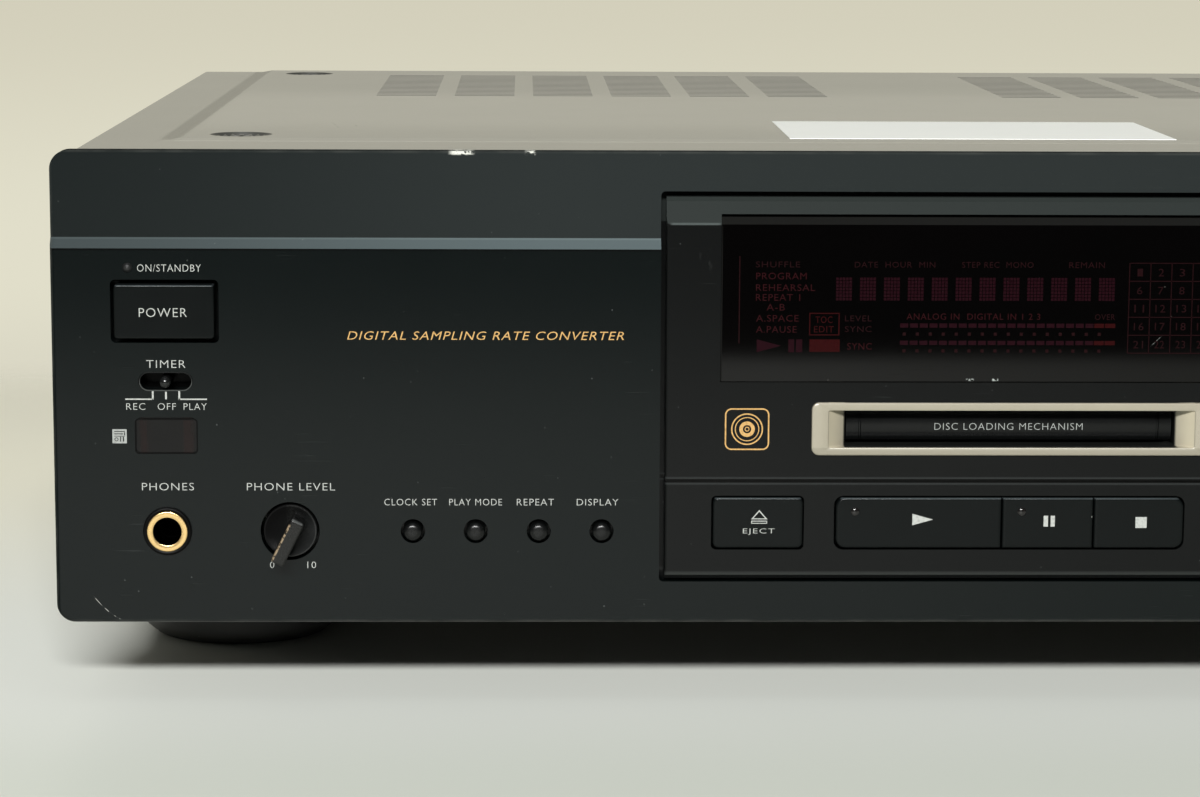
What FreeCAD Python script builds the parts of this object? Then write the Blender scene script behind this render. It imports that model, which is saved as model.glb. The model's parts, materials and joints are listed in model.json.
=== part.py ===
import FreeCAD, Part
import os
import Sketcher

# Minidisc deck. X runs to the right, Y from front to back, Z up, all in millimetres.
# The origin is under the middle of the deck's box, on the surface that the feet stand on.

SIZES = {
    # case
    "panel_width": 430.0,
    "panel_height": 106.5,
    "panel_rise": 0.5,
    "panel_thickness": 6.0,
    "corner_radius": 4.2,
    "edge_radius": 0.7,
    "body_depth": 320.0,
    "knob_projection": 14.0,
    "jack_projection": 11.0,
    "foot_height": 18.0,
    "foot_radius": 25.0,
    "foot_inset": 35.0,
    "foot_front": 79.0,
    "foot_back": 58.0,
    "foot_recess": 4.6,
    "cover_inset": 3.7,
    "cover_sheet": 1.2,
    "cover_bend": 1.6,
    "cover_drop": 0.5,
    "plateau_margin": 21.8,
    "plateau_front": 40.0,
    "plateau_bevel": 5.0,
    "label_width": 91.0,
    "label_depth": 56.5,
    "dish_radius": 7.35,
    "dish_depth": 2.0,
    "dish_side": 34.8,
    "dish_front": 50.5,
    "dish_back": 17.0,
    "vent_back": 25.0,
    "vent_pitch": 6.0,
    "vent_slot": 2.7,
    "vent_rows": 17.0,
    "vent_width": 16.7,
    "vent_step": 21.96,
    "vent_side": 60.2,
    "sheet": 1.2,
    "rear_inset": 1.2,
    "screw_radius": 1.45,
    "screw_head": 3.4,
    "screw_length": 6.0,
    "fit_gap": 0.05,
    "rest_gap": 0.15,
    # upper band of the fascia and the sloped strip under it
    "band_recess": 2.0,
    "band_height": 19.3,
    "strip_height": 2.3,
    # centre panel
    "centre_width": 156.0,
    "centre_low": 10.0,
    "centre_top": 10.0,
    "centre_gap": 1.2,
    "centre_flange": 5.0,
    "flange_sheet": 2.0,
    "slope_height": 5.0,
    "groove_height": 22.7,
    "window_width": 131.4,
    "window_gap": 6.4,
    "window_drop": 3.8,
    "window_proud": 0.5,
    "window_slit": 0.5,
    "window_lip": 1.8,
    # disc slot
    "slot_play": 1.4,
    "slot_headroom": 3.4,
    "slot_low": 40.3,
    "slot_flare": 3.9,
    "bezel_border": 3.8,
    "bezel_lip": 1.8,
    "bezel_proud": 1.0,
    "bezel_wall": 1.0,
    "bezel_depth": 9.0,
    "door_thickness": 1.7,
    "door_setback": 6.0,
    "door_pin": 0.8,
    # controls
    "board_gap": 8.0,
    "board_sheet": 1.6,
    "switch_height": 3.6,
    "switch_side": 6.0,
    "flange_lip": 1.0,
    "stem_radius": 1.6,
    "key_travel": 0.8,
    "key_proud": 0.6,
    "key_gap": 0.3,
    "key_height": 12.4,
    "key_low": 16.75,
    "key_radius": 2.2,
    "eject_width": 21.0,
    "eject_place": 57.0,
    "play_width": 38.0,
    "pause_width": 20.8,
    "stop_width": 20.7,
    "dot_radius": 2.15,
    "dot_clearance": 0.6,
    "dot_travel": 0.6,
    "dot_proud": 1.6,
    "dot_steps": 5.95,
    "dot_margin": 14.2,
    "control_height": 21.0,
    "power_width": 21.9,
    "power_height": 12.0,
    "power_clearance": 1.1,
    "power_travel": 2.6,
    "power_proud": 1.4,
    "power_side": 25.25,
    "power_rise": 15.8,
    "lever_width": 2.6,
    "lever_height": 3.3,
    "lever_travel": 3.0,
    "lever_proud": 2.2,
    "timer_rise": 12.2,
    "eye_width": 14.0,
    "eye_height": 8.2,
    "eye_place": 42.8,
    "lamp_radius": 1.1,
    "lamp_side": 17.1,
    "lamp_rise": 9.8,
    "jack_place": 25.2,
    "jack_bore": 3.2,
    "jack_ring": 4.6,
    "jack_neck": 5.5,
    "jack_depth": 30.0,
    "jack_side": 13.0,
    "level_place": 52.7,
    "level_radius": 6.0,
    "level_clearance": 0.65,
    "level_fin": 8.0,
    "level_disc": 1.6,
    "fin_width": 2.9,
    "shaft_radius": 3.0,
    "pot_side": 12.0,
    "pot_depth": 7.0,
    "jog_place": 55.0,
    "jog_height": 61.5,
    "jog_radius": 17.0,
    "record_place": 25.2,
    "record_radius": 10.0,
    "record_proud": 11.0,
    "input_place": 55.0,
    "input_radius": 7.5,
    "input_proud": 10.0,
    "knob_clearance": 0.4,
    # disc mechanism
    "disc_width": 72.0,
    "disc_length": 68.0,
    "disc_thickness": 5.0,
    "disc_play": 0.3,
    "holder_sheet": 1.0,
    "holder_wall": 2.2,
    "holder_setback": 25.0,
    "holder_drop": 4.8,
    "slider_stroke": 12.0,
    "slider_length": 70.0,
    "slider_sheet": 1.5,
    "pin_radius": 1.4,
    "frame_setback": 24.0,
    "frame_length": 94.0,
    "frame_half": 52.0,
    "frame_height": 25.5,
    "wall_height": 26.0,
    "gear_modulus": 1.0,
    "gear_teeth": 12.0,
    "gear_width": 3.0,
    "rod_radius": 1.5,
    "rod_place": 17.0,
    "rod_height": 4.0,
    "sled_stroke": 16.0,
    "sled_length": 15.5,
    "sled_height": 5.5,
    "turntable_radius": 9.5,
    "motor_radius": 10.0,
    "motor_height": 12.0,
    "arm_length": 43.0,
    "arm_width": 16.0,
    # electrics
    "board_height": 11.0,
    "post_radius": 3.5,
    "transformer_width": 62.0,
    "transformer_depth": 50.0,
    "transformer_height": 52.0,
    "transformer_place": 91.3,
    "transformer_back": 60.0,
    "coil_overhang": 9.0,
    "core_flange": 10.0,
    "board_side": 47.3,
    "power_board_width": 102.0,
    "main_board_width": 144.0,
    "jack_room": 18.0,
    "phono_radius": 4.15,
    "phono_body": 10.0,
    "phono_pitch": 18.0,
    "phono_rows": 22.0,
    "phono_side": 91.3,
    "phono_height": 44.0,
    "optical_side": 13.0,
    "optical_hole": 8.6,
    "optical_gap": 36.0,
    "optical_pitch": 22.0,
    "inlet_width": 24.0,
    "inlet_height": 16.0,
    "inlet_side": 46.3,
    "inlet_rise": 26.0,
    "capacitor_radius": 12.5,
    "capacitor_height": 40.0,
    "sink_width": 36.0,
    "sink_height": 38.0,
    "chip_height": 2.4,
    "ribbon_sheet": 0.4,
    "ribbon_width": 20.0,
}

doc = FreeCAD.newDocument("minidisc_deck")
sheet = doc.addObject("Spreadsheet::Sheet", "Sizes")
for row, (alias, value) in enumerate(SIZES.items(), start=1):
    sheet.set(f"A{row}", alias)
    sheet.set(f"B{row}", str(value))
    sheet.setAlias(f"B{row}", alias)
doc.recompute()


class Length:
    """A size as its number and as the sheet expression that gives it."""

    def __init__(self, value, text):
        self.value = value
        self.text = text

    def __add__(self, other):
        other = length(other)
        return Length(self.value + other.value, f"({self.text} + {other.text})")

    def __sub__(self, other):
        other = length(other)
        return Length(self.value - other.value, f"({self.text} - {other.text})")

    def __mul__(self, other):
        other = length(other)
        return Length(self.value * other.value, f"({self.text} * {other.text})")

    def __truediv__(self, other):
        other = length(other)
        return Length(self.value / other.value, f"({self.text} / {other.text})")

    def __neg__(self):
        return Length(-self.value, f"(0 - {self.text})")

    def __radd__(self, other):
        return length(other) + self

    def __rsub__(self, other):
        return length(other) - self

    def __rmul__(self, other):
        return length(other) * self


def length(size):
    """Takes a plain number or a Length and gives a Length."""
    if isinstance(size, Length):
        return size
    if size < 0:
        return Length(float(size), f"(0 - {-float(size)!r})")
    return Length(float(size), repr(float(size)))


class Sheet:
    """Each alias of the sheet as a Length: sz.panel_width and so on."""

    def __getattr__(self, alias):
        return Length(float(sheet.get(alias)), f"Sizes.{alias}")


sz = Sheet()


def bind(thing, prop, size):
    """Sets a property by an expression on the sheet."""
    thing.setExpression(prop, length(size).text)


def place(thing, x, y, z):
    """Binds an object's place."""
    for axis, size in zip("xyz", (x, y, z)):
        bind(thing, f"Placement.Base.{axis}", size)


TURNS = {
    "up": FreeCAD.Rotation(),
    "front": FreeCAD.Rotation(FreeCAD.Vector(1, 0, 0), 90),
    "back": FreeCAD.Rotation(FreeCAD.Vector(1, 0, 0), -90),
    "right": FreeCAD.Rotation(FreeCAD.Vector(0, 1, 0), 90),
}


def block(label, x, y, z):
    """A box between two limits along each axis."""
    box = doc.addObject("Part::Box", label)
    bind(box, "Length", x[1] - length(x[0]))
    bind(box, "Width", y[1] - length(y[0]))
    bind(box, "Height", z[1] - length(z[0]))
    place(box, x[0], y[0], z[0])
    return box


def rod(label, radius, start, reach, way="up"):
    """A round bar from the point start, for reach millimetres the given way."""
    bar = doc.addObject("Part::Cylinder", label)
    bar.Placement.Rotation = TURNS[way]
    bind(bar, "Radius", radius)
    bind(bar, "Height", reach)
    place(bar, *start)
    return bar


def cone(label, low_radius, top_radius, start, reach, way="up"):
    """A cone frustum from the point start, for reach millimetres the given way."""
    bar = doc.addObject("Part::Cone", label)
    bar.Placement.Rotation = TURNS[way]
    bind(bar, "Radius1", low_radius)
    bind(bar, "Radius2", top_radius)
    bind(bar, "Height", reach)
    place(bar, *start)
    return bar


def group(label, pieces):
    """Separate solids kept as one sub-part."""
    kept = doc.addObject("Part::Compound", label)
    kept.Links = list(pieces)
    return kept


def join(label, pieces):
    """One solid from pieces that overlap or touch."""
    joined = doc.addObject("Part::MultiFuse", label)
    joined.Shapes = list(pieces)
    return joined


def cut(label, base, tools):
    """The base less the tools, which stay clear of each other."""
    left = doc.addObject("Part::Cut", label)
    left.Base = base
    left.Tool = tools[0] if len(tools) == 1 else group(label + "_tools", tools)
    return left


def new_body(label):
    return doc.addObject("PartDesign::Body", label)


def mark(sketch, geometry, point, x, y):
    """Ties one point of a sketch to its distances from the sketch's origin."""
    for kind, size in (("DistanceX", length(x)), ("DistanceY", length(y))):
        index = sketch.addConstraint(Sketcher.Constraint(kind, -1, 1, geometry, point, size.value))
        bind(sketch, f"Constraints[{index}]", size)


def radius_of(sketch, geometry, radius):
    size = length(radius)
    index = sketch.addConstraint(Sketcher.Constraint("Radius", geometry, size.value))
    bind(sketch, f"Constraints[{index}]", size)


def polygon(*corners):
    """A closed outline of straight edges."""
    def draw(sketch):
        spots = [FreeCAD.Vector(length(x).value, length(y).value, 0) for x, y in corners]
        count = len(spots)
        edges = [sketch.addGeometry(Part.LineSegment(spots[i], spots[(i + 1) % count])) for i in range(count)]
        for i in range(count):
            sketch.addConstraint(Sketcher.Constraint("Coincident", edges[i], 2, edges[(i + 1) % count], 1))
            mark(sketch, edges[i], 1, *corners[i])
    return draw


def box_outline(x, y):
    """A rectangle between two limits each way."""
    return polygon((x[0], y[0]), (x[1], y[0]), (x[1], y[1]), (x[0], y[1]))


def circle(x, y, radius):
    def draw(sketch):
        centre = FreeCAD.Vector(length(x).value, length(y).value, 0)
        ring = sketch.addGeometry(Part.Circle(centre, FreeCAD.Vector(0, 0, 1), length(radius).value))
        mark(sketch, ring, 3, x, y)
        radius_of(sketch, ring, radius)
    return draw


def rounded(x, y, radius):
    """A rectangle between two limits each way, with round corners."""
    def draw(sketch):
        r = length(radius)
        quarter = 1.5707963267948966
        centres = [(x[1] - r, y[0] + r), (x[1] - r, y[1] - r), (x[0] + r, y[1] - r), (x[0] + r, y[0] + r)]
        up = FreeCAD.Vector(0, 0, 1)
        arcs = []
        for turn, (cx, cy) in enumerate(centres, start=-1):
            ring = Part.Circle(FreeCAD.Vector(cx.value, cy.value, 0), up, r.value)
            arc = sketch.addGeometry(Part.ArcOfCircle(ring, turn * quarter, (turn + 1) * quarter))
            mark(sketch, arc, 3, cx, cy)
            radius_of(sketch, arc, r)
            arcs.append(arc)
        for i in range(4):
            first = sketch.getPoint(arcs[i], 2)
            last = sketch.getPoint(arcs[(i + 1) % 4], 1)
            edge = sketch.addGeometry(Part.LineSegment(first, last))
            sketch.addConstraint(Sketcher.Constraint("Tangent", arcs[i], 2, edge, 1))
            sketch.addConstraint(Sketcher.Constraint("Tangent", edge, 2, arcs[(i + 1) % 4], 1))
    return draw


def stadium(x, y, half_length, radius):
    """A slot with round ends that lies along the sketch's first axis."""
    def draw(sketch):
        r = length(radius)
        reach = half_length - r
        up = FreeCAD.Vector(0, 0, 1)
        half_turn = 3.141592653589793
        arcs = []
        for cx, turn in ((x + reach, -0.5), (x - reach, 0.5)):
            ring = Part.Circle(FreeCAD.Vector(length(cx).value, length(y).value, 0), up, r.value)
            arc = sketch.addGeometry(Part.ArcOfCircle(ring, turn * half_turn, (turn + 1) * half_turn))
            mark(sketch, arc, 3, cx, y)
            radius_of(sketch, arc, r)
            arcs.append(arc)
        for one, other in ((0, 1), (1, 0)):
            edge = sketch.addGeometry(
                Part.LineSegment(sketch.getPoint(arcs[one], 2), sketch.getPoint(arcs[other], 1)))
            sketch.addConstraint(Sketcher.Constraint("Tangent", arcs[one], 2, edge, 1))
            sketch.addConstraint(Sketcher.Constraint("Tangent", edge, 2, arcs[other], 1))
    return draw


# Role of the origin plane that each outline is drawn on, and the sign of its normal.
PLANES = {"front": ("XZ_Plane", -1), "side": ("YZ_Plane", 1), "top": ("XY_Plane", 1)}


def sketch_on(body, facing, at, outlines):
    """A sketch on a body's own origin plane, moved along its normal to the coordinate at."""
    role, sign = PLANES[facing]
    drawn = body.newObject("Sketcher::SketchObject", body.Label + "_outline")
    drawn.AttachmentSupport = [(next(f for f in body.Origin.OriginFeatures if f.Role == role), "")]
    drawn.MapMode = "FlatFace"
    bind(drawn, "AttachmentOffset.Base.z", length(at) * sign)
    for outline in outlines:
        outline(drawn)
    return drawn


def pad(body, facing, span, *outlines):
    """Adds material over the span of coordinates along the plane's axis."""
    drawn = sketch_on(body, facing, span[0], outlines)
    grown = body.newObject("PartDesign::Pad", body.Label + "_pad")
    grown.Profile = drawn
    bind(grown, "Length", span[1] - length(span[0]))
    grown.Reversed = facing == "front"
    return grown


def pocket(body, facing, span, *outlines):
    """Takes material away over the span of coordinates along the plane's axis."""
    drawn = sketch_on(body, facing, span[0], outlines)
    sunk = body.newObject("PartDesign::Pocket", body.Label + "_pocket")
    sunk.Profile = drawn
    bind(sunk, "Length", span[1] - length(span[0]))
    sunk.Reversed = facing != "front"
    return sunk


def runs_along(edge, axis, **places):
    """True for a straight edge along the axis given, whose other coordinates are as stated."""
    ends = [vertex.Point for vertex in edge.Vertexes]
    if len(ends) != 2:
        return False
    across = [other for other in "xyz" if other != axis]
    straight = all(abs(getattr(ends[0], other) - getattr(ends[1], other)) < 1e-6 for other in across)
    return straight and all(abs(getattr(ends[0], other) - length(spot).value) < 1e-6
                            for other, spot in places.items())


def round_edges(body, radius, chosen):
    """Rounds the edges of a body's last feature that the function chosen picks."""
    doc.recompute()
    last = body.Tip
    names = [f"Edge{number}" for number, edge in enumerate(last.Shape.Edges, start=1) if chosen(edge)]
    rounding = body.newObject("PartDesign::Fillet", body.Label + "_rounding")
    rounding.Base = (last, names)
    bind(rounding, "Radius", radius)
    body.Tip = rounding
    return rounding


def turned(label, start, way, *profile):
    """A turned piece: its profile holds (radius, height) corners, and start is height 0."""
    body = new_body(label)
    body.Placement.Rotation = TURNS[way]
    place(body, *start)
    drawn = sketch_on(body, "front", 0, [polygon(*profile)])
    spun = body.newObject("PartDesign::Revolution", label + "_turn")
    spun.Profile = drawn
    spun.ReferenceAxis = (drawn, ["V_Axis"])
    spun.Angle = 360
    return body


# Planes and heights that several pieces share.
face = sz.knob_projection - (sz.knob_projection + sz.body_depth + sz.jack_projection) / 2
panel_back = face + sz.panel_thickness
board_front = panel_back + sz.board_gap
board_back = board_front + sz.board_sheet
switch_front = board_front - sz.switch_height
frame_front = face + sz.frame_setback - sz.sheet * 2
cover_end = face + sz.body_depth
rear_front = cover_end - sz.rear_inset - sz.sheet
rear_back = rear_front + sz.sheet
panel_low = sz.foot_height + sz.panel_rise
panel_top = panel_low + sz.panel_height
floor_low = sz.foot_height
floor_top = floor_low + sz.sheet
cover_low = floor_low + 1.0
strip_level = panel_top - sz.cover_drop
cover_under = strip_level - sz.cover_sheet
cover_half = sz.panel_width / 2 - sz.cover_inset
wall_outer = cover_half - sz.cover_sheet - 0.4
wall_inner = wall_outer - sz.sheet
control_level = panel_low + sz.control_height
key_level = panel_low + sz.key_low + sz.key_height / 2
slot_low = panel_low + sz.slot_low
slot_height = sz.disc_thickness + sz.slot_headroom
slot_top = slot_low + slot_height
throat = sz.disc_width / 2 + sz.slot_play
window_low = slot_top + sz.window_gap
window_top = panel_top - sz.centre_top - sz.window_drop
window_half = sz.window_width / 2
centre_half = sz.centre_width / 2
centre_low = panel_low + sz.centre_low
centre_top = panel_top - sz.centre_top
left_edge = -sz.panel_width / 2
right_edge = sz.panel_width / 2
power_x = left_edge + sz.power_side
eye_level = panel_low + sz.eye_place
timer_level = eye_level + sz.timer_rise
power_level = timer_level + sz.power_rise
lamp_x = left_edge + sz.lamp_side
lamp_level = power_level + sz.lamp_rise
jack_x = left_edge + sz.jack_place
level_x = left_edge + sz.level_place
jog_x = right_edge - sz.jog_place
jog_level = panel_low + sz.jog_height
record_x = right_edge - sz.record_place
input_x = right_edge - sz.input_place
dot_first = centre_half + sz.dot_margin
dot_pitch = (-level_x - centre_half) / sz.dot_steps
dot_xs = [dot_first + dot_pitch * step for step in range(4)]
dish_x = cover_half - sz.dish_side
dish_ys = [face + sz.dish_front, cover_end - sz.dish_back]
foot_x = right_edge - sz.foot_inset
foot_ys = [face + sz.foot_front, cover_end - sz.foot_back]
rail_top = panel_top - sz.dish_depth - sz.cover_sheet

nodes = []


def keep(thing):
    """Marks a sub-part for the hand-over."""
    nodes.append(thing)
    return thing


# ---- case -------------------------------------------------------------------------------------

def fascia():
    """Front panel with its recessed upper band, control holes and the posts behind it."""
    body = new_body("fascia")
    beyond = 1
    pad(body, "front", (face, panel_back),
        rounded((left_edge, right_edge), (panel_low, panel_top), sz.corner_radius))
    round_edges(body, sz.edge_radius, lambda edge: abs(edge.BoundBox.YMax - face.value) < 1e-4)
    band_low = panel_top - sz.band_height
    pocket(body, "side", (left_edge - beyond, right_edge + beyond),
           polygon((face - beyond, band_low - sz.strip_height), (face, band_low - sz.strip_height),
                   (face + sz.band_recess, band_low), (face + sz.band_recess, panel_top + beyond),
                   (face - beyond, panel_top + beyond)))
    power_half = sz.power_width / 2 + sz.power_clearance
    power_tall = sz.power_height / 2 + sz.power_clearance
    lever_reach = sz.lever_width / 2 + sz.lever_travel + 1.8
    lever_tall = sz.lever_height / 2 + 0.45
    holes = [
        rounded((-centre_half - sz.centre_gap, centre_half + sz.centre_gap),
                (centre_low - sz.centre_gap / 2, centre_top + sz.centre_gap), 1.0),
        rounded((power_x - power_half, power_x + power_half),
                (power_level - power_tall, power_level + power_tall), 1.2),
        stadium(power_x, timer_level, lever_reach, lever_tall),
        rounded((power_x - sz.eye_width / 2, power_x + sz.eye_width / 2),
                (eye_level - sz.eye_height / 2, eye_level + sz.eye_height / 2), 1.6),
        circle(lamp_x, lamp_level, sz.lamp_radius + sz.fit_gap),
        circle(jack_x, control_level, sz.jack_neck + sz.fit_gap),
        circle(level_x, control_level, sz.level_radius + sz.level_clearance),
        circle(jog_x, jog_level, sz.shaft_radius + sz.knob_clearance),
        circle(record_x, control_level, sz.shaft_radius + sz.knob_clearance),
        circle(input_x, control_level, sz.shaft_radius + sz.knob_clearance),
    ]
    for side in (-1, 1):
        holes += [circle(x * side, control_level, sz.dot_radius + sz.dot_clearance) for x in dot_xs]
    pocket(body, "front", (face - beyond, panel_back + beyond), *holes)
    pad(body, "front", (panel_back, board_front),
        *[circle(x, z, 2.5) for board in left_boards + right_boards for x, z in board["posts"]])
    pad(body, "front", (panel_back, frame_front),
        *[circle((right_edge - 13) * side, z, 4)
          for side in (-1, 1) for z in (panel_low + 6, panel_top - 7.5)])
    return keep(body)


def top_cover():
    """Bent sheet with a slightly raised middle, screw dishes and rows of vents."""
    half = cover_half
    inner = half - sz.cover_sheet
    shell = new_body("cover_shell")
    pad(shell, "front", (panel_back, cover_end),
        polygon((-half, cover_low), (-half, strip_level), (half, strip_level), (half, cover_low),
                (inner, cover_low), (inner, cover_under), (-inner, cover_under), (-inner, cover_low)))
    round_edges(shell, sz.cover_bend, lambda edge: runs_along(edge, "y", z=strip_level))
    round_edges(shell, sz.cover_bend - sz.cover_sheet, lambda edge: runs_along(edge, "y", z=cover_under))
    plateau = doc.addObject("Part::Wedge", "cover_plateau")
    top_half = half - sz.plateau_margin
    low_half = top_half + sz.plateau_bevel
    # The wedge's own Y is turned up, so its Z runs towards the front.
    plateau.Placement.Rotation = TURNS["front"]
    place(plateau, 0, cover_end, strip_level - 0.4)
    depth = sz.body_depth - sz.plateau_front
    for prop, size in (("Xmin", -low_half), ("Xmax", low_half), ("X2min", -top_half), ("X2max", top_half),
                       ("Ymin", 0), ("Ymax", sz.cover_drop + 0.4), ("Zmin", 0),
                       ("Zmax", depth + sz.plateau_bevel), ("Z2min", 0), ("Z2max", depth)):
        bind(plateau, prop, size)
    dishes = [(dish_x * side, y) for side in (-1, 1) for y in dish_ys]
    cup_bottom = panel_top - sz.dish_depth - sz.cover_sheet
    cup_height = cover_under - cup_bottom + 0.6
    cups = [rod("cover_cup", sz.dish_radius + sz.cover_sheet, (x, y, cup_bottom), cup_height)
            for x, y in dishes]
    tools = []
    for x, y in dishes:
        bowl = cone("cover_bowl", sz.dish_radius - 1.2, sz.dish_radius, (x, y, panel_top - sz.dish_depth),
                    sz.dish_depth + 0.001)
        hole = rod("cover_hole", sz.screw_radius + 0.4, (x, y, cup_bottom - 1),
                   sz.dish_depth + sz.cover_sheet)
        tools.append(join("cover_dish", [bowl, hole]))
    tools.append(cover_vents())
    return keep(cut("top_cover", join("cover_blank", [shell, plateau] + cups), tools))


def cover_vents():
    """Cutters for the vents: two fields of six columns, each a stack of crosswise slots."""
    cutters = doc.addObject("Part::Feature", "cover_vents")
    half = cover_half.value
    slot = sz.vent_slot.value
    slots = []
    for column in range(6):
        x = half - sz.vent_side.value - sz.vent_width.value - sz.vent_step.value * column
        for row in range(int(sz.vent_rows.value)):
            y = cover_end.value - sz.vent_back.value - slot - sz.vent_pitch.value * row
            for left in (x, -x - sz.vent_width.value):
                low = FreeCAD.Vector(left, y, cover_under.value - 1)
                slots.append(Part.makeBox(sz.vent_width.value, slot, sz.cover_sheet.value + 3, low))
    cutters.Shape = Part.makeCompound(slots)
    return cutters


def pan_screw(label, start, way, reach):
    """A screw with a bevelled round head that seats at start."""
    return turned(label, start, way, (0, -reach), (sz.screw_radius, -reach), (sz.screw_radius, 0),
                  (sz.screw_head, 0), (sz.screw_head, 0.9), (sz.screw_head - 1.1, 1.6), (0, 1.6))


def cover_screws():
    """Pan-head screws that hold the cover down, one in each dish."""
    seat = panel_top - sz.dish_depth
    made = [pan_screw("cover_screw", (dish_x * side, y, seat), "up", sz.screw_length)
            for side in (-1, 1) for y in dish_ys]
    return keep(group("cover_screws", made))


def paper_label():
    """Blank paper label on the cover's raised middle."""
    front = face + sz.plateau_front + 1.5
    left = -(sz.label_width / 2 + 2)
    return keep(block("paper_label", (left, left + sz.label_width), (front, front + sz.label_depth),
                      (panel_top, panel_top + 0.1)))


def feet():
    """Four round feet, each with a recess under it for its screw."""
    made = []
    high = sz.foot_height
    r = sz.foot_radius
    for side in (-1, 1):
        for y in foot_ys:
            made.append(turned("foot", (foot_x * side, y, 0), "up",
                               (sz.foot_recess, 0), (r - 3, 0), (r - 1, 2), (r, high / 2), (r, high),
                               (2.1, high), (2.1, 4), (sz.foot_recess, 4)))
    return keep(group("feet", made))


def foot_screws():
    """Screws from below through the feet into the chassis floor."""
    made = []
    for side in (-1, 1):
        for y in foot_ys:
            tip = sz.foot_height + 6
            made.append(turned("foot_screw", (foot_x * side, y, 0), "up",
                               (0, 1.6), (sz.foot_recess - 0.4, 1.6), (sz.foot_recess - 0.4, 4), (1.95, 4),
                               (1.95, tip), (0, tip)))
    return keep(group("foot_screws", made))


def chassis():
    """Floor pan with its side walls, cover rails and the posts that carry boards and mechanism."""
    front = frame_front + sz.sheet
    rail_front = panel_back + sz.jack_depth
    body = new_body("chassis")
    pad(body, "top", (floor_low, floor_top), box_outline((-wall_outer, wall_outer), (panel_back, rear_front)))
    for side in (-1, 1):
        outer = wall_outer * side
        inner = wall_inner * side
        limits = (inner, outer) if side > 0 else (outer, inner)
        pad(body, "top", (floor_top, floor_top + 30), box_outline(limits, (front, rear_front)))
        web = dish_x + 7
        limits = (web, web + sz.sheet) if side > 0 else (-web - sz.sheet, -web)
        pad(body, "top", (floor_top, rail_top), box_outline(limits, (rail_front, rear_front)))
        limits = (dish_x - 7, web) if side > 0 else (-web, 7 - dish_x)
        pad(body, "top", (rail_top - sz.sheet, rail_top), box_outline(limits, (rail_front, rear_front)))
    pad(body, "top", (floor_top, mech_floor), *[circle(x, y, sz.post_radius) for x, y in mech_posts])
    pad(body, "top", (floor_top, floor_top + sz.board_height),
        *[circle(x, y, sz.post_radius) for x, y in board_posts])
    pocket(body, "top", (floor_low - 1, floor_top + 1),
           *[circle(foot_x * side, y, 2.0) for side in (-1, 1) for y in foot_ys])
    pocket(body, "top", (rail_top - sz.sheet - 1, rail_top + 1),
           *[circle(dish_x * side, y, sz.screw_radius + sz.fit_gap) for side in (-1, 1) for y in dish_ys])
    return keep(body)


def front_frame():
    """Steel plate behind the front boards, open for the disc, the phone jack and the cables."""
    body = new_body("front_frame")
    low = floor_top
    high = cover_under - 3
    half = wall_inner - 0.5
    pad(body, "front", (frame_front, frame_front + sz.sheet), box_outline((-half, half), (low, high)))
    jack_hole = sz.jack_side / 2 + 1
    pocket(body, "front", (frame_front - 1, frame_front + sz.sheet + 1),
           box_outline((-sz.frame_half, sz.frame_half), (slot_low - 8, slot_top + 5)),
           box_outline((jack_x - jack_hole, jack_x + jack_hole),
                       (control_level - jack_hole, control_level + jack_hole)),
           box_outline((sz.frame_half + 6, sz.frame_half + sz.ribbon_width + 10),
                       (board_top + 1, board_top + 6)))
    return keep(body)


def rear_panel():
    """Back plate with the holes for the jacks, optical sockets and mains inlet."""
    body = new_body("rear_panel")
    half = wall_inner - 0.5
    pad(body, "front", (rear_front, rear_back), box_outline((-half, half), (floor_top, cover_under - 3)))
    holes = [circle(x, z, sz.phono_radius + 0.1) for x, z in phono_places]
    hole = sz.optical_side / 2 + 0.1
    holes += [box_outline((x - hole, x + hole), (optical_level - hole, optical_level + hole))
              for x in optical_xs]
    wide = sz.inlet_width / 2 + 0.1
    tall = sz.inlet_height / 2 + 0.1
    holes.append(box_outline((inlet_x - wide, inlet_x + wide), (inlet_level - tall, inlet_level + tall)))
    holes += [circle(x, z, sz.screw_radius + sz.fit_gap) for x, z in rear_screw_places]
    pocket(body, "front", (rear_front - 1, rear_back + 1), *holes)
    tab_x = cover_half - 60
    pad(body, "front", (rear_front - 7, rear_front),
        *[box_outline((x - 4, x + 4), (floor_top, floor_top + 1.2)) for x in (-tab_x, length(0), tab_x)])
    return keep(body)


def rear_screws():
    """Pan-head screws along the rim of the back plate."""
    made = [pan_screw("rear_screw", (x, rear_back, z), "back", sz.screw_length - 1)
            for x, z in rear_screw_places]
    return keep(group("rear_screws", made))


# ---- centre panel, window and disc slot ----------------------------------------------------------

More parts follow.
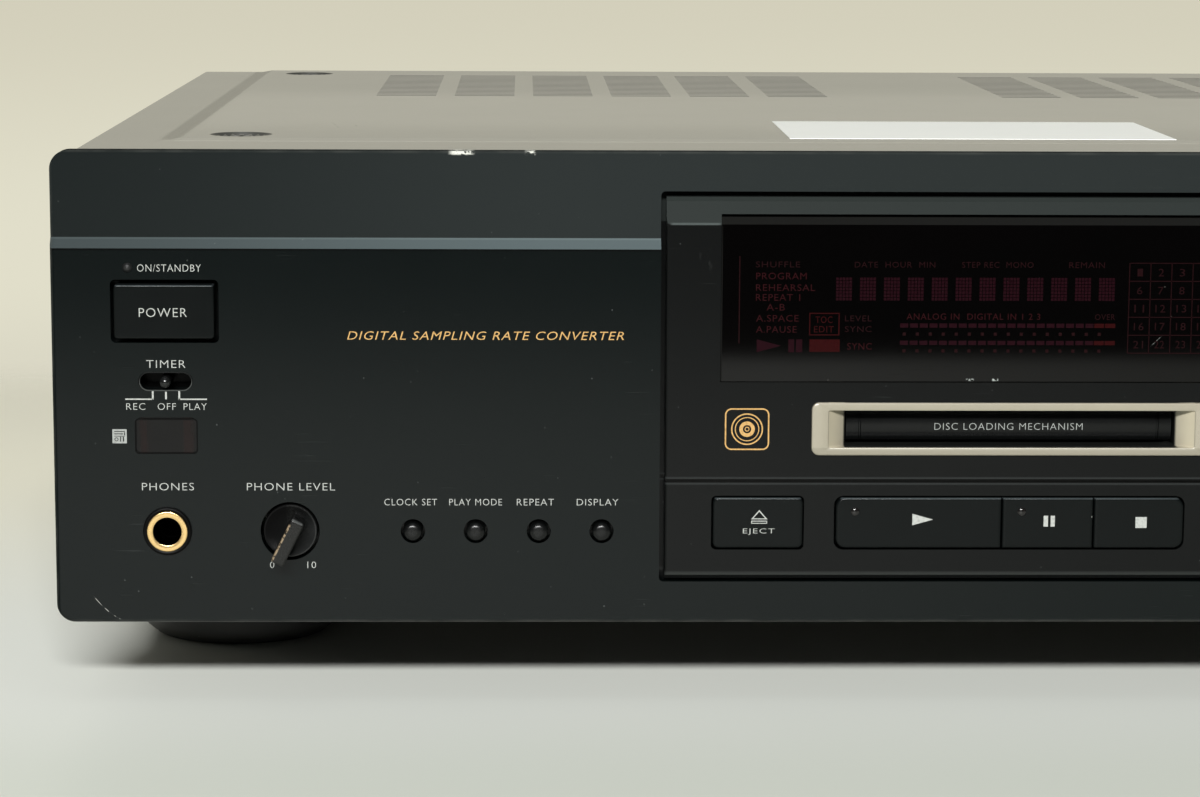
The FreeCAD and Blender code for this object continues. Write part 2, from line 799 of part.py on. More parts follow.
def centre_panel():
    """Proud centre panel with a sloped top, a groove, and a flange that bears on the fascia's back."""
    body = new_body("centre_panel")
    pad(body, "front", (face, panel_back), box_outline((-centre_half, centre_half), (centre_low, centre_top)))
    round_edges(body, sz.edge_radius, lambda edge: runs_along(edge, "z", y=face))
    out = centre_half + sz.centre_flange
    pad(body, "front", (panel_back, panel_back + sz.flange_sheet),
        box_outline((-out, out), (centre_low - sz.centre_flange, centre_top + sz.centre_flange)))
    inner = centre_half - sz.flange_sheet
    pocket(body, "front", (panel_back, panel_back + sz.flange_sheet + 1),
           box_outline((-inner, inner), (centre_low + sz.flange_sheet, centre_top - sz.flange_sheet)))
    beyond = 1
    slope_low = centre_top - sz.slope_height - 1
    pocket(body, "side", (-centre_half - beyond, centre_half + beyond),
           polygon((face - beyond, slope_low), (face, slope_low), (face + sz.band_recess, centre_top - 1),
                   (face + sz.band_recess, centre_top + beyond), (face - beyond, centre_top + beyond)))
    pocket(body, "side", (-centre_half - beyond, centre_half + beyond),
           polygon((face - beyond, centre_low - beyond), (face + 1, centre_low - beyond),
                   (face + 1, centre_low), (face, centre_low + 1), (face - beyond, centre_low + 1)))
    groove = panel_low + sz.centre_low + sz.groove_height
    pocket(body, "front", (face - beyond, face + 0.4),
           box_outline((-centre_half - beyond, centre_half + beyond), (groove - 0.25, groove + 0.25)))
    shrink = sz.fit_gap
    out_x = bezel_outer + shrink
    holes = [box_outline((-window_half - shrink, window_half + shrink),
                         (window_low - shrink, window_top + shrink)),
             box_outline((-out_x, out_x),
                         (slot_low - sz.bezel_wall - shrink, slot_top + sz.bezel_wall + shrink))]
    low = key_level - sz.key_height / 2
    high = key_level + sz.key_height / 2
    for side in (-1, 1):
        middle = sz.eject_place * side
        holes.append(rounded((middle - sz.eject_width / 2, middle + sz.eject_width / 2), (low, high), 1.2))
    holes.append(rounded((transport_left, transport_right), (low, high), sz.key_radius))
    pocket(body, "front", (face - beyond, panel_back + beyond), *holes)
    pad(body, "front", (panel_back, board_front),
        *[circle(x, z, 2.2) for board in centre_boards for x, z in board["posts"]])
    return keep(body)


def display_window():
    """Smoked window whose top follows the panel's slope under a slit, with a lip behind the panel."""
    body = new_body("display_window")
    front = face - sz.window_proud
    slope_low = centre_top - sz.slope_height - 1
    pane_top = window_top - sz.window_slit
    lean = sz.band_recess * (pane_top - slope_low) / sz.slope_height
    pad(body, "side", (-window_half, window_half),
        polygon((front, slope_low), (front, window_low + 0.3), (front + 0.3, window_low),
                (panel_back, window_low), (panel_back, pane_top), (front + lean, pane_top)))
    out = window_half + sz.window_lip
    pad(body, "front", (panel_back, panel_back + 1.5),
        box_outline((-out, out), (window_low - sz.window_lip, window_top + sz.window_lip)))
    return keep(body)


def slot_bezel():
    """Metal surround of the disc slot, with sloped cheeks and the holes for the door's pins."""
    flange_half = throat + sz.slot_flare + sz.bezel_border
    front = face - sz.bezel_proud
    body = new_body("bezel_blank")
    pad(body, "front", (front, face),
        rounded((-flange_half, flange_half), (slot_low - sz.bezel_lip, slot_top + sz.bezel_lip), 1.7))
    pad(body, "front", (face, face + sz.bezel_depth),
        box_outline((-bezel_outer, bezel_outer), (slot_low - sz.bezel_wall, slot_top + sz.bezel_wall)))
    pocket(body, "front", (front - 1, face + sz.bezel_depth + 1),
           box_outline((-throat, throat), (slot_low, slot_top)))
    flare = doc.addObject("Part::Wedge", "bezel_flare")
    place(flare, 0, front, slot_low)
    cheek = throat + sz.slot_flare
    for prop, size in (("Xmin", -cheek), ("Xmax", cheek), ("X2min", -throat), ("X2max", throat),
                       ("Ymin", 0), ("Ymax", sz.slot_flare), ("Zmin", 0), ("Zmax", slot_height),
                       ("Z2min", 0), ("Z2max", slot_height)):
        bind(flare, prop, size)
    bore = rod("bezel_bore", sz.door_pin + sz.fit_gap, (-throat - 1.5, door_y, door_z), throat * 2 + 3,
               "right")
    return keep(cut("slot_bezel", cut("bezel_flared", body, [flare]), [bore]))


def slot_door():
    """Door that hangs from its two pins and swings inwards, with a crowned front."""
    half = throat - 0.3
    thick = sz.door_thickness
    low = slot_low + 0.9
    high = slot_top - 0.3
    middle = (low + high) / 2
    body = new_body("slot_door")
    pad(body, "side", (-half, half),
        polygon((door_y, low), (door_y, high), (door_y - thick * 0.55, high),
                (door_y - thick * 0.9, middle + 1.8), (door_y - thick, middle),
                (door_y - thick * 0.9, middle - 1.8), (door_y - thick * 0.55, low)))
    pad(body, "side", (-half - 1.2, half + 1.2), circle(door_y, door_z, sz.door_pin))
    return keep(body)


# ---- controls ------------------------------------------------------------------------------------

def push_key(label, outline, flange, stem, proud, travel, height=None, square_end=None):
    """A cap that fills its hole, a flange that keeps it in, and a stem that reaches its switch."""
    back = panel_back + sz.rest_gap
    flange_back = back + 1.2
    body = new_body(label)
    pad(body, "front", (face - proud, back), outline)
    if square_end:
        pad(body, "front", (face - proud, back), square_end)
    pad(body, "front", (back, flange_back), flange)
    tall = sz.switch_height if height is None else height
    pad(body, "front", (flange_back, board_front - tall - travel - 0.2), circle(*stem, sz.stem_radius))
    return keep(body)


def transport_keys():
    """Eject and record keys in holes of their own, and play, pause and stop in one opening."""
    gap = sz.key_gap
    low = key_level - sz.key_height / 2
    high = key_level + sz.key_height / 2
    edges = [transport_left, transport_left + sz.play_width, transport_left + sz.play_width + sz.pause_width,
             transport_right]
    spans = [("play_button", edges[0] + gap, edges[1] - gap / 2),
             ("pause_button", edges[1] + gap / 2, edges[2] - gap / 2),
             ("stop_button", edges[2] + gap / 2, edges[3] - gap)]
    for label, side in (("eject_button", -1), ("record_button", 1)):
        middle = sz.eject_place * side
        spans.append((label, middle - sz.eject_width / 2 + gap, middle + sz.eject_width / 2 - gap))
    for label, left, right in spans:
        # Keys that share an opening have no lip between them.
        lip_left = left if label in ("pause_button", "stop_button") else left - sz.flange_lip
        lip_right = right if label in ("play_button", "pause_button") else right + sz.flange_lip
        # Play and stop are round only at the opening's outer corners.
        middle = (left + right) / 2
        square = {"play_button": (middle, right), "stop_button": (left, middle)}.get(label)
        corner = {"pause_button": length(0.3), "eject_button": length(1.2), "record_button": length(1.2)}
        push_key(label, rounded((left, right), (low + gap, high - gap), corner.get(label, sz.key_radius)),
                 box_outline((lip_left, lip_right), (low - sz.flange_lip, high + sz.flange_lip)),
                 (middle, key_level), sz.key_proud, sz.key_travel,
                 square_end=box_outline(square, (low + gap, high - gap)) if square else None)


DOT_NAMES = {-1: ["display_button", "repeat_button", "mode_button", "clock_button"],
             1: ["menu_button", "scroll_button", "edit_button", "enter_button"]}


def dot_keys():
    """Small round keys with domed caps, four on each side."""
    for side, names in DOT_NAMES.items():
        for label, x in zip(names, dot_xs):
            back = panel_back + sz.rest_gap
            tip = face - sz.dot_proud
            r = sz.dot_radius
            reach = switch_front - sz.dot_travel - 0.2
            # Heights run from the flange's back towards the front.
            base = back + 1.2
            keep(turned(label, (x * side, base, control_level), "front",
                        (0, base - reach), (sz.stem_radius, base - reach), (sz.stem_radius, 0),
                        (r + sz.dot_clearance + 0.6, 0), (r + sz.dot_clearance + 0.6, 1.2), (r, 1.2),
                        (r, base - tip - 0.9), (r - 0.4, base - tip - 0.35), (r - 1.2, base - tip),
                        (0, base - tip)))


def power_button():
    """Wide latching power key."""
    half = sz.power_width / 2
    tall = sz.power_height / 2
    lip = sz.power_clearance + 0.7
    push_key("power_button",
             rounded((power_x - half, power_x + half), (power_level - tall, power_level + tall), 0.8),
             box_outline((power_x - half - lip, power_x + half + lip),
                         (power_level - tall - lip, power_level + tall + lip)),
             (power_x, power_level), sz.power_proud, sz.power_travel, power_switch_height)


def timer_lever():
    """Three-place lever that slides along its slot, on a plate behind the panel."""
    half = sz.lever_width / 2
    tall = sz.lever_height / 2
    back = panel_back + sz.rest_gap
    body = new_body("timer_lever")
    pad(body, "front", (face - sz.lever_proud, back),
        box_outline((power_x - half, power_x + half), (timer_level - tall, timer_level + tall)))
    reach = sz.lever_travel + half + 2.5
    pad(body, "front", (back, back + 1),
        box_outline((power_x - reach, power_x + reach), (timer_level - tall - 1.6, timer_level + tall + 1.6)))
    return keep(body)


def level_knob():
    """Headphone level knob: a flat disc in its hole with a fin across it that points at nought."""
    base = board_front - sz.pot_depth + 5
    r = sz.level_radius
    front = face - sz.level_disc + 1.2
    skirt = base - panel_back + 1
    disc = turned("level_disc", (level_x, base, control_level), "front",
                  (0, 0), (sz.shaft_radius, 0), (sz.shaft_radius, skirt), (r, skirt),
                  (r, base - front - 0.5), (r - 0.5, base - front), (0, base - front))
    fin = new_body("level_fin")
    reach = r - 0.3
    pad(fin, "front", (0, sz.level_fin + 1),
        stadium(length(0), 0, reach, sz.fin_width / 2))
    fin.Placement.Rotation = FreeCAD.Rotation(FreeCAD.Vector(0, 1, 0), FIN_TURN)
    place(fin, level_x, face - sz.level_fin, control_level)
    return keep(join("phones_level_knob", [disc, fin]))


# The fin lies along the line through nought, 60 degrees from level.
FIN_TURN = -60


def round_knob(label, x, z, radius, proud, grip):
    """A turned knob with a dished front, and a shaft that enters the part behind it."""
    base = board_front - sz.pot_depth + 5
    skirt = face - sz.knob_clearance
    tip = face - proud
    return keep(turned(label, (x, base, z), "front",
                       (0, 0), (sz.shaft_radius, 0), (sz.shaft_radius, base - skirt), (radius, base - skirt),
                       (radius, base - skirt + 1.2), (radius - grip, base - skirt + 2),
                       (radius - grip, base - tip - 0.8), (radius - grip - 0.8, base - tip),
                       (radius * 0.55, base - tip), (radius * 0.5, base - tip - 0.4), (0, base - tip - 0.5)))


def small_front_parts():
    """Infrared window, lamps, phone jack and its ring."""
    body = new_body("ir_window")
    gap = sz.fit_gap
    half = sz.eye_width / 2 - gap
    tall = sz.eye_height / 2 - gap
    pad(body, "front", (face + 0.3, panel_back),
        rounded((power_x - half, power_x + half), (eye_level - tall, eye_level + tall), 1.6 - gap))
    pad(body, "front", (panel_back, panel_back + 1.2),
        box_outline((power_x - half - 1.2, power_x + half + 1.2),
                    (eye_level - tall - 1.2, eye_level + tall + 1.2)))
    keep(body)

    lamp = turned("standby_lamp", (lamp_x, panel_back + 1.2, lamp_level), "front",
                  (0, 0), (sz.lamp_radius + 0.9, 0), (sz.lamp_radius + 0.9, 1.2), (sz.lamp_radius, 1.2),
                  (sz.lamp_radius, sz.panel_thickness + 1), (sz.lamp_radius - 0.5, sz.panel_thickness + 1.4),
                  (0, sz.panel_thickness + 1.5))
    keep(lamp)

    neck = rod("jack_neck", sz.jack_neck, (jack_x, panel_back, control_level), sz.panel_thickness + 0.4,
               "front")
    half = sz.jack_side / 2
    housing = block("jack_housing", (jack_x - half, jack_x + half),
                    (panel_back, panel_back + sz.jack_depth - 6),
                    (control_level - half, control_level + half))
    seat = rod("jack_seat", sz.jack_ring + 0.02, (jack_x, face + 9, control_level), 12, "front")
    bore = rod("jack_bore", sz.jack_bore + 0.5, (jack_x, panel_back + 20, control_level), 30, "front")
    keep(cut("phone_jack", join("jack_blank", [neck, housing]), [join("jack_hollow", [seat, bore])]))
    keep(turned("jack_ring", (jack_x, face + 9, control_level), "front",
                (sz.jack_bore, 0), (sz.jack_ring, 0), (sz.jack_ring, 9.6), (sz.jack_ring - 0.3, 9.9),
                (sz.jack_bore, 9.9)))


# ---- boards behind the front ------------------------------------------------------------------------

def board_of(left, right, low, high, posts):
    return {"x": (left, right), "z": (low, high), "posts": posts}


power_switch_height = length(3.0)
transport_left = -(sz.play_width + sz.pause_width + sz.stop_width) / 2
transport_right = (sz.play_width + sz.pause_width + sz.stop_width) / 2
bezel_outer = throat + sz.slot_flare + 0.7
door_y = face + sz.door_setback
door_z = slot_top - 1.0
dot_post = dot_first + dot_pitch / 2

power_post = power_level + sz.power_height / 2 + sz.power_clearance + 3.8

left_boards = [
    board_of(power_x - 16, power_x + 18, eye_level - 9, power_post + 3.5,
             [(power_x - 13, power_post), (power_x + 15, power_post), (power_x + 15, eye_level - 5)]),
    board_of(level_x - 9, 6.5 - dot_first, control_level - 12, control_level + 12,
             [(level_x + 12, control_level - 8), (level_x + 12, control_level + 9),
              (-dot_post, control_level - 9), (-dot_post, control_level + 9)]),
]
right_boards = [
    board_of(jog_x - 22, jog_x + 22, jog_level - 20, jog_level + 20,
             [(jog_x - 18, jog_level - 16), (jog_x + 18, jog_level - 16),
              (jog_x - 18, jog_level + 16), (jog_x + 18, jog_level + 16)]),
    board_of(dot_first - 6.5, record_x + 8, control_level - 12, control_level + 12,
             [(dot_post, control_level - 9), (dot_post, control_level + 9),
              (record_x - 14.5, control_level - 9), (record_x - 14.5, control_level + 9)]),
]
post_x = centre_half - 4.6
centre_boards = [
    board_of(-post_x - 2.5, post_x + 2.5, key_level - 10.5, key_level + 13,
             [(post_x * side, key_level + up) for side in (-1, 1) for up in (-7.5, 10)]),
    board_of(-post_x - 2.5, post_x + 2.5, window_low - 2, window_top + 3,
             [(post_x * side, level) for side in (-1, 1) for level in (window_low + 1, window_top)]),
]


def control_boards():
    """Boards that carry the switches, lamps and pots behind the front."""
    made = [block("board", board["x"], (board_front, board_back), board["z"])
            for board in left_boards + right_boards + centre_boards]
    return keep(group("control_boards", made))


def key_switches():
    """Push switches under the keys, the power switch and the timer's slide switch."""
    half = sz.switch_side / 2
    lefts = [transport_left + sz.play_width / 2, transport_left + sz.play_width + sz.pause_width / 2,
             transport_right - sz.stop_width / 2, sz.eject_place, -sz.eject_place]
    spots = [(x, key_level) for x in lefts]
    spots += [(x * side, control_level) for side in (-1, 1) for x in dot_xs]
    made = [block("switch", (x - half, x + half), (switch_front, board_front), (z - half, z + half))
            for x, z in spots]
    made.append(block("power_switch", (power_x - 7, power_x + 7),
                      (board_front - power_switch_height, board_front), (power_level - 5, power_level + 5)))
    slide_front = panel_back + sz.rest_gap * 2 + 1
    made.append(block("timer_switch", (power_x - 6, power_x + 6), (slide_front, board_front),
                      (timer_level - 2.5, timer_level + 2.5)))
    made.append(block("eye_receiver", (power_x - 5, power_x + 5), (panel_back + 2, board_front),
                      (eye_level - 3.5, eye_level + 3.5)))
    return keep(group("key_switches", made))


def rotary_parts():
    """Pots and encoders on the front boards, each with a bore for its knob's shaft."""
    made = []
    front = board_front - sz.pot_depth
    half = sz.pot_side / 2
    for x, z in ((level_x, control_level), (input_x, control_level), (record_x, control_level),
                 (jog_x, jog_level)):
        case = block("pot_case", (x - half, x + half), (front, board_front), (z - half, z + half))
        bore = rod("pot_bore", sz.shaft_radius + sz.fit_gap, (x, front - 1, z), 6.5, "back")
        made.append(cut("pot", case, [bore]))
    return keep(group("rotary_parts", made))


def display_tube():
    """Glass envelope of the fluorescent display on its board."""
    return keep(block("display_tube", (3.5 - window_half, window_half - 3.5), (panel_back + 2, board_front),
                      (window_low + 4, window_top - 3)))


# ---- disc mechanism ----------------------------------------------------------------------------------

mech_front = face + sz.frame_setback
mech_back = mech_front + sz.frame_length
mech_floor = floor_top + sz.frame_height - sz.sheet
mech_base = mech_floor + sz.sheet
mech_posts = [((sz.frame_half - 4) * side, y) for side in (-1, 1) for y in (mech_front + 7, mech_back - 7)]
holder_front = face + sz.holder_setback
cavity_half = sz.disc_width / 2 + sz.disc_play
cavity_low = slot_low + 0.4
cavity_top = cavity_low + sz.disc_thickness + sz.disc_play * 1.3
cavity_back = holder_front + sz.disc_length + 2
holder_half = cavity_half + sz.holder_wall
disc_y = (holder_front + cavity_back) / 2
slider_inner = holder_half + 3.5
slider_outer = slider_inner + sz.slider_sheet
guide_inner = slider_outer + 0.5
guide_outer = guide_inner + sz.sheet
pin_z = (cavity_low + cavity_top) / 2
pin_ys = [holder_front + 18, holder_front + 58]
slider_low = mech_base + 0.3
gear_pitch = sz.gear_modulus * sz.gear_teeth / 2
tooth_pitch = sz.gear_modulus * 3.141592653589793
gear_low = mech_base + 1
rack_tip = slider_inner - 5
load_gear_x = rack_tip * -1 + gear_pitch - sz.gear_modulus
load_gear_y = mech_front + 62
rod_level = mech_base + sz.rod_height
sled_half = sz.rod_place + 4
sled_front = disc_y + sz.turntable_radius + 1
sled_low = mech_base + 1.2
sled_gear_x = sled_half + sz.gear_modulus + gear_pitch
sled_gear_y = mech_front + 62
arm_y = mech_back - 5
arm_z = cavity_top + 4.5


def mech_frame():
    """Base of the disc mechanism: floor, side guides, rod blocks, and ears for the head arm."""
    body = new_body("mech_frame")
    half = sz.frame_half
    pad(body, "top", (mech_floor, mech_base), box_outline((-half, half), (mech_front, mech_back)))
    for side in (-1, 1):
        limits = (guide_inner, guide_outer) if side > 0 else (-guide_outer, -guide_inner)
        pad(body, "top", (mech_base, mech_base + sz.wall_height),
            box_outline(limits, (mech_front, mech_back)))
    pad(body, "top", (mech_base, mech_base + sz.wall_height),
        box_outline((-guide_inner, guide_inner), (mech_back - sz.sheet, mech_back)))
    blocks = []
    for side in (-1, 1):
        near = (sz.rod_place - 2.5) * side
        far = (sz.rod_place + 2.5) * side
        limits = (near, far) if side > 0 else (far, near)
        blocks += [box_outline(limits, (y, y + 2)) for y in rod_blocks]
    pad(body, "top", (mech_base, rod_level + 2.5), *blocks)
    ears = []
    for side in (-1, 1):
        inner = sz.arm_width / 2 + 0.4
        limits = (inner, inner + 2) if side > 0 else (-inner - 2, -inner)
        ears.append(box_outline(limits, (arm_y - 3.5, mech_back - sz.sheet)))
    pad(body, "top", (arm_z - 5, arm_z + 3), *ears)
    pocket(body, "front", (rod_blocks[0] - 1, rod_blocks[1] + 3),
           *[circle(sz.rod_place * side, rod_level, sz.rod_radius + 0.02) for side in (-1, 1)])
    reach = sz.arm_width / 2 + 3
    pocket(body, "side", (-reach, reach), circle(arm_y, arm_z, 1.5 + sz.fit_gap))
    shaft_hole = 1.5 + sz.fit_gap
    pocket(body, "top", (mech_floor - 1, mech_base + 1), circle(0, disc_y, 3),
           circle(load_gear_x, load_gear_y, shaft_hole), circle(sled_gear_x, sled_gear_y, shaft_hole))
    return keep(body)


rod_blocks = [sled_front - 4, sled_front + sz.sled_length + sz.sled_stroke + 2]


def disc_holder():
    """Sheet holder that the disc slides into, with lips under its edges and four guide pins."""
    body = new_body("disc_holder")
    top = cavity_top + sz.holder_sheet
    lip_low = cavity_low - sz.holder_sheet
    back = cavity_back + 1.5
    pad(body, "top", (cavity_top, top), box_outline((-holder_half, holder_half), (holder_front, back)))
    for side in (-1, 1):
        limits = (cavity_half, holder_half) if side > 0 else (-holder_half, -cavity_half)
        pad(body, "top", (lip_low, cavity_top), box_outline(limits, (holder_front, back)))
        limits = (cavity_half - 3, cavity_half) if side > 0 else (-cavity_half, 3 - cavity_half)
        pad(body, "top", (lip_low, cavity_low), box_outline(limits, (holder_front, cavity_back)))
        reach = (holder_half, slider_outer) if side > 0 else (-slider_outer, -holder_half)
        pad(body, "side", reach, *[circle(y, pin_z, sz.pin_radius) for y in pin_ys])
    pad(body, "top", (lip_low, cavity_top), box_outline((-cavity_half, cavity_half), (cavity_back, back)))
    window = 9
    pocket(body, "top", (cavity_top - 0.5, top + 1),
           box_outline((-window, window), (disc_y + 8, cavity_back + 2)))
    return keep(body)


def loading_slider():
    """Slider whose sloped slots lower the holder as it runs back, with the rack that drives it."""
    body = new_body("loading_slider")
    front = holder_front + 4
    back = front + sz.slider_length
    top = mech_base + sz.wall_height - 1
    for side in (-1, 1):
        limits = (slider_inner, slider_outer) if side > 0 else (-slider_outer, -slider_inner)
        pad(body, "side", limits, box_outline((front, back), (slider_low, top)))
        slots = []
        for y in pin_ys:
            near = y + 2.2
            far = y - sz.slider_stroke - 2.2
            slope = sz.holder_drop / sz.slider_stroke
            near_z = pin_z + slope * 2.2
            far_z = pin_z - sz.holder_drop - slope * 2.2
            slots.append(polygon((near, near_z - 2), (near, near_z + 2), (far, far_z + 2), (far, far_z - 2)))
        pocket(body, "side", (limits[0] - 0.2, limits[1] + 0.2), *slots)
    pad(body, "top", (top - 1.5, top), box_outline((-slider_inner, slider_inner), (front, front + 6)))
    rack_back = -rack_tip - sz.gear_modulus * 2
    pad(body, "top", (gear_low, gear_low + sz.gear_width),
        box_outline((-slider_inner, rack_back), (load_gear_y - 20, back)))
    tooth = pad(body, "top", (gear_low, gear_low + sz.gear_width),
                rack_tooth(rack_back, load_gear_y - tooth_pitch * 5.5))
    repeat_teeth(body, tooth, 8)
    return keep(body)


def rack_tooth(root, y):
    """One tooth of a rack that runs along Y, its tip towards positive X."""
    wide = sz.gear_modulus * 0.65
    thin = sz.gear_modulus * 0.3
    tip = root + sz.gear_modulus * 1.8
    return polygon((root - 0.1, y - wide), (tip, y - thin), (tip, y + thin), (root - 0.1, y + wide))


def repeat_teeth(body, tooth, count):
    """Repeats a rack's tooth along Y, one circular pitch apart."""
    row = body.newObject("PartDesign::LinearPattern", body.Label + "_teeth")
    row.Originals = [tooth]
    row.Direction = (next(f for f in body.Origin.OriginFeatures if f.Role == "Y_Axis"), [""])
    row.Occurrences = count
    bind(row, "Length", tooth_pitch * (count - 1))
    body.Tip = row


def toothed_gear(label, x, y, shaft_low):
    """A gear on its own shaft, in mesh with a rack beside it."""
    body = new_body(label)
    place(body, x, y, 0)
    root = gear_pitch - sz.gear_modulus * 1.1
    tip = gear_pitch + sz.gear_modulus * 0.75
    wide = sz.gear_modulus * 0.75
    thin = sz.gear_modulus * 0.3
    pad(body, "top", (gear_low, gear_low + sz.gear_width), circle(0, 0, root))
    tooth = pad(body, "top", (gear_low, gear_low + sz.gear_width),
                polygon((root * 0.9, -wide), (tip, -thin), (tip, thin), (root * 0.9, wide)))
    ring = body.newObject("PartDesign::PolarPattern", label + "_teeth")
    ring.Originals = [tooth]
    ring.Axis = (next(f for f in body.Origin.OriginFeatures if f.Role == "Z_Axis"), [""])
    ring.Angle = 360
    bind(ring, "Occurrences", sz.gear_teeth)
    body.Tip = ring
    pad(body, "top", (shaft_low, gear_low), circle(0, 0, 1.5))
    return keep(body)


def turntable():
    """Disc turntable with its centring cone, on the spindle motor's shaft."""
    top = cavity_low - sz.holder_drop + 0.9
    low = mech_base + 3
    r = sz.turntable_radius
    foot = mech_floor - sz.motor_height + 2
    return keep(turned("turntable", (0, disc_y, 0), "up",
                       (0, foot), (1, foot), (1, low), (r, low),
                       (r, low + 1.6), (5.4, low + 1.6), (5.4, top - 1.2), (3.4, top), (0, top)))


def mech_motors():
    """Spindle motor and loading gear motor, hung under the mechanism's floor."""
    low = mech_floor - sz.motor_height
    made = []
    for label, x, y, radius, shaft in (("spindle_motor", 0, disc_y, sz.motor_radius, 1),
                                       ("loading_motor", load_gear_x, load_gear_y, sz.motor_radius - 2, 1.5)):
        can = rod(label + "_can", radius, (x, y, low), sz.motor_height)
        bore = rod(label + "_bore", shaft + sz.fit_gap, (x, y, low + 1), sz.motor_height)
        made.append(cut(label, can, [bore]))
    return keep(group("mech_motors", made))


def optical_sled():
    """Pickup sled on its two rods, with the lens on top and a rack along one side."""
    body = new_body("optical_sled")
    back = sled_front + sz.sled_length
    pad(body, "top", (sled_low, sled_low + sz.sled_height),
        box_outline((-sled_half, sled_half), (sled_front, back)))
    pocket(body, "front", (sled_front - 1, back + 1),
           *[circle(sz.rod_place * side, rod_level, sz.rod_radius + sz.fit_gap) for side in (-1, 1)])
    lens_y = sled_front + 4
    pad(body, "top", (sled_low + sz.sled_height, sled_low + sz.sled_height + 1), circle(0, lens_y, 3.4))
    first = sled_gear_y - tooth_pitch * 6.5
    pad(body, "top", (gear_low, gear_low + sz.gear_width),
        box_outline((sled_half - 1.2, sled_half), (first - 1.2, sled_gear_y + 2.6)))
    tooth = pad(body, "top", (gear_low, gear_low + sz.gear_width), rack_tooth(sled_half, first))
    repeat_teeth(body, tooth, 8)
    return keep(body)


def guide_rods():
    """Two steel rods that the pickup sled runs on."""
    reach = rod_blocks[1] + 2 - rod_blocks[0]
    made = [rod("guide_rod", sz.rod_radius, (sz.rod_place * side, rod_blocks[0], rod_level), reach, "back")
            for side in (-1, 1)]
    return keep(group("guide_rods", made))


def head_arm():
    """Arm that carries the recording head over the disc, on a cross shaft."""
    body = new_body("head_arm")
    half = sz.arm_width / 2
    pad(body, "side", (-half, half),
        polygon((arm_y - sz.arm_length, arm_z - 1.6), (arm_y - 3, arm_z - 1.6), (arm_y - 1, arm_z - 2.4),
                (arm_y + 2, arm_z - 2.4), (arm_y + 2, arm_z + 2), (arm_y - 8, arm_z + 2),
                (arm_y - 12, arm_z - 0.2), (arm_y - sz.arm_length, arm_z - 0.2)))
    pad(body, "side", (-half - 2.2, half + 2.2), circle(arm_y, arm_z, 1.5))
    tip = arm_y - sz.arm_length
    pad(body, "top", (arm_z - 2.8, arm_z - 1), box_outline((-3, 3), (tip, tip + 7)))
    return keep(body)


# ---- electrics -----------------------------------------------------------------------------------------

board_low = floor_top + sz.board_height
board_top = board_low + sz.board_sheet
core_x = sz.transformer_place - cover_half
core_y = rear_front - sz.transformer_back
core_front = core_y - sz.transformer_depth / 2 - sz.coil_overhang
board_spans = {
    "power_board": ((sz.board_side - cover_half, sz.board_side - cover_half + sz.power_board_width),
                    (mech_back + 2, core_front - 4)),
    "main_board": ((cover_half - sz.board_side - sz.main_board_width, cover_half - sz.board_side),
                   (mech_back + 14, rear_front - sz.jack_room)),
}
board_posts = []
for (left, right), (front, back) in board_spans.values():
    board_posts += [(x, y) for x in (left + 5, right - 5) for y in (front + 5, back - 5)]
phono_x = cover_half - sz.phono_side
phono_level = floor_top + sz.phono_height
phono_places = [(phono_x + sz.phono_pitch * step, z) for step in range(3)
                for z in (phono_level, phono_level + sz.phono_rows)]
optical_level = phono_level + sz.phono_rows / 2
optical_xs = [phono_x - sz.optical_gap - sz.optical_pitch * step for step in (2, 1, 0)]
inlet_x = sz.inlet_side - cover_half
inlet_level = floor_top + sz.inlet_rise
rear_screw_xs = [16 - cover_half, inlet_x + 90, optical_xs[0] - 20, phono_x - 15, cover_half - 16]
rear_screw_places = [(x, z) for x in rear_screw_xs for z in (floor_top + 8, cover_under - 10)]


def power_board():
    """Supply board with its rectifiers and regulators."""
    (left, right), (front, back) = board_spans["power_board"]
    body = new_body("power_board")
    pad(body, "top", (board_low, board_top), box_outline((left, right), (front, back)))
    pad(body, "top", (board_top, board_top + 12), box_outline((left + 6, left + 20), (front + 8, front + 30)),
        box_outline((right - 30, right - 22), (front + 8, front + 16)))
    return keep(body)


def filter_capacitors():
    """Smoothing capacitors standing on the supply board."""
    (left, right), (front, back) = board_spans["power_board"]
    big = sz.capacitor_radius
    small = big * 0.6
    row_y = back - big - 4
    made = [rod("capacitor", big, (left + (big + 2) * place, row_y, board_top), sz.capacitor_height)
            for place in (1, 3, 5)]
    made += [rod("capacitor", small, (left + (small + 2) * place, row_y - big - small - 4, board_top),
                 sz.capacitor_height * 0.6) for place in (2, 4, 6)]
    return keep(group("filter_capacitors", made))


def heat_sink():
    """Finned aluminium heat sink on the supply board."""
    (left, right), (front, back) = board_spans["power_board"]
    body = new_body("heat_sink")
    x = right - sz.sink_width - 6
    y = front + 18
    top = board_top + sz.sink_height
    pad(body, "top", (board_top, top), box_outline((x, x + sz.sink_width), (y, y + 3)))
    fin_pitch = (sz.sink_width - 2) / 5
    fins = [box_outline((x + fin_pitch * step, x + fin_pitch * step + 2), (y + 3, y + 12))
            for step in range(6)]
    pad(body, "top", (board_top, top), *fins)
    return keep(body)


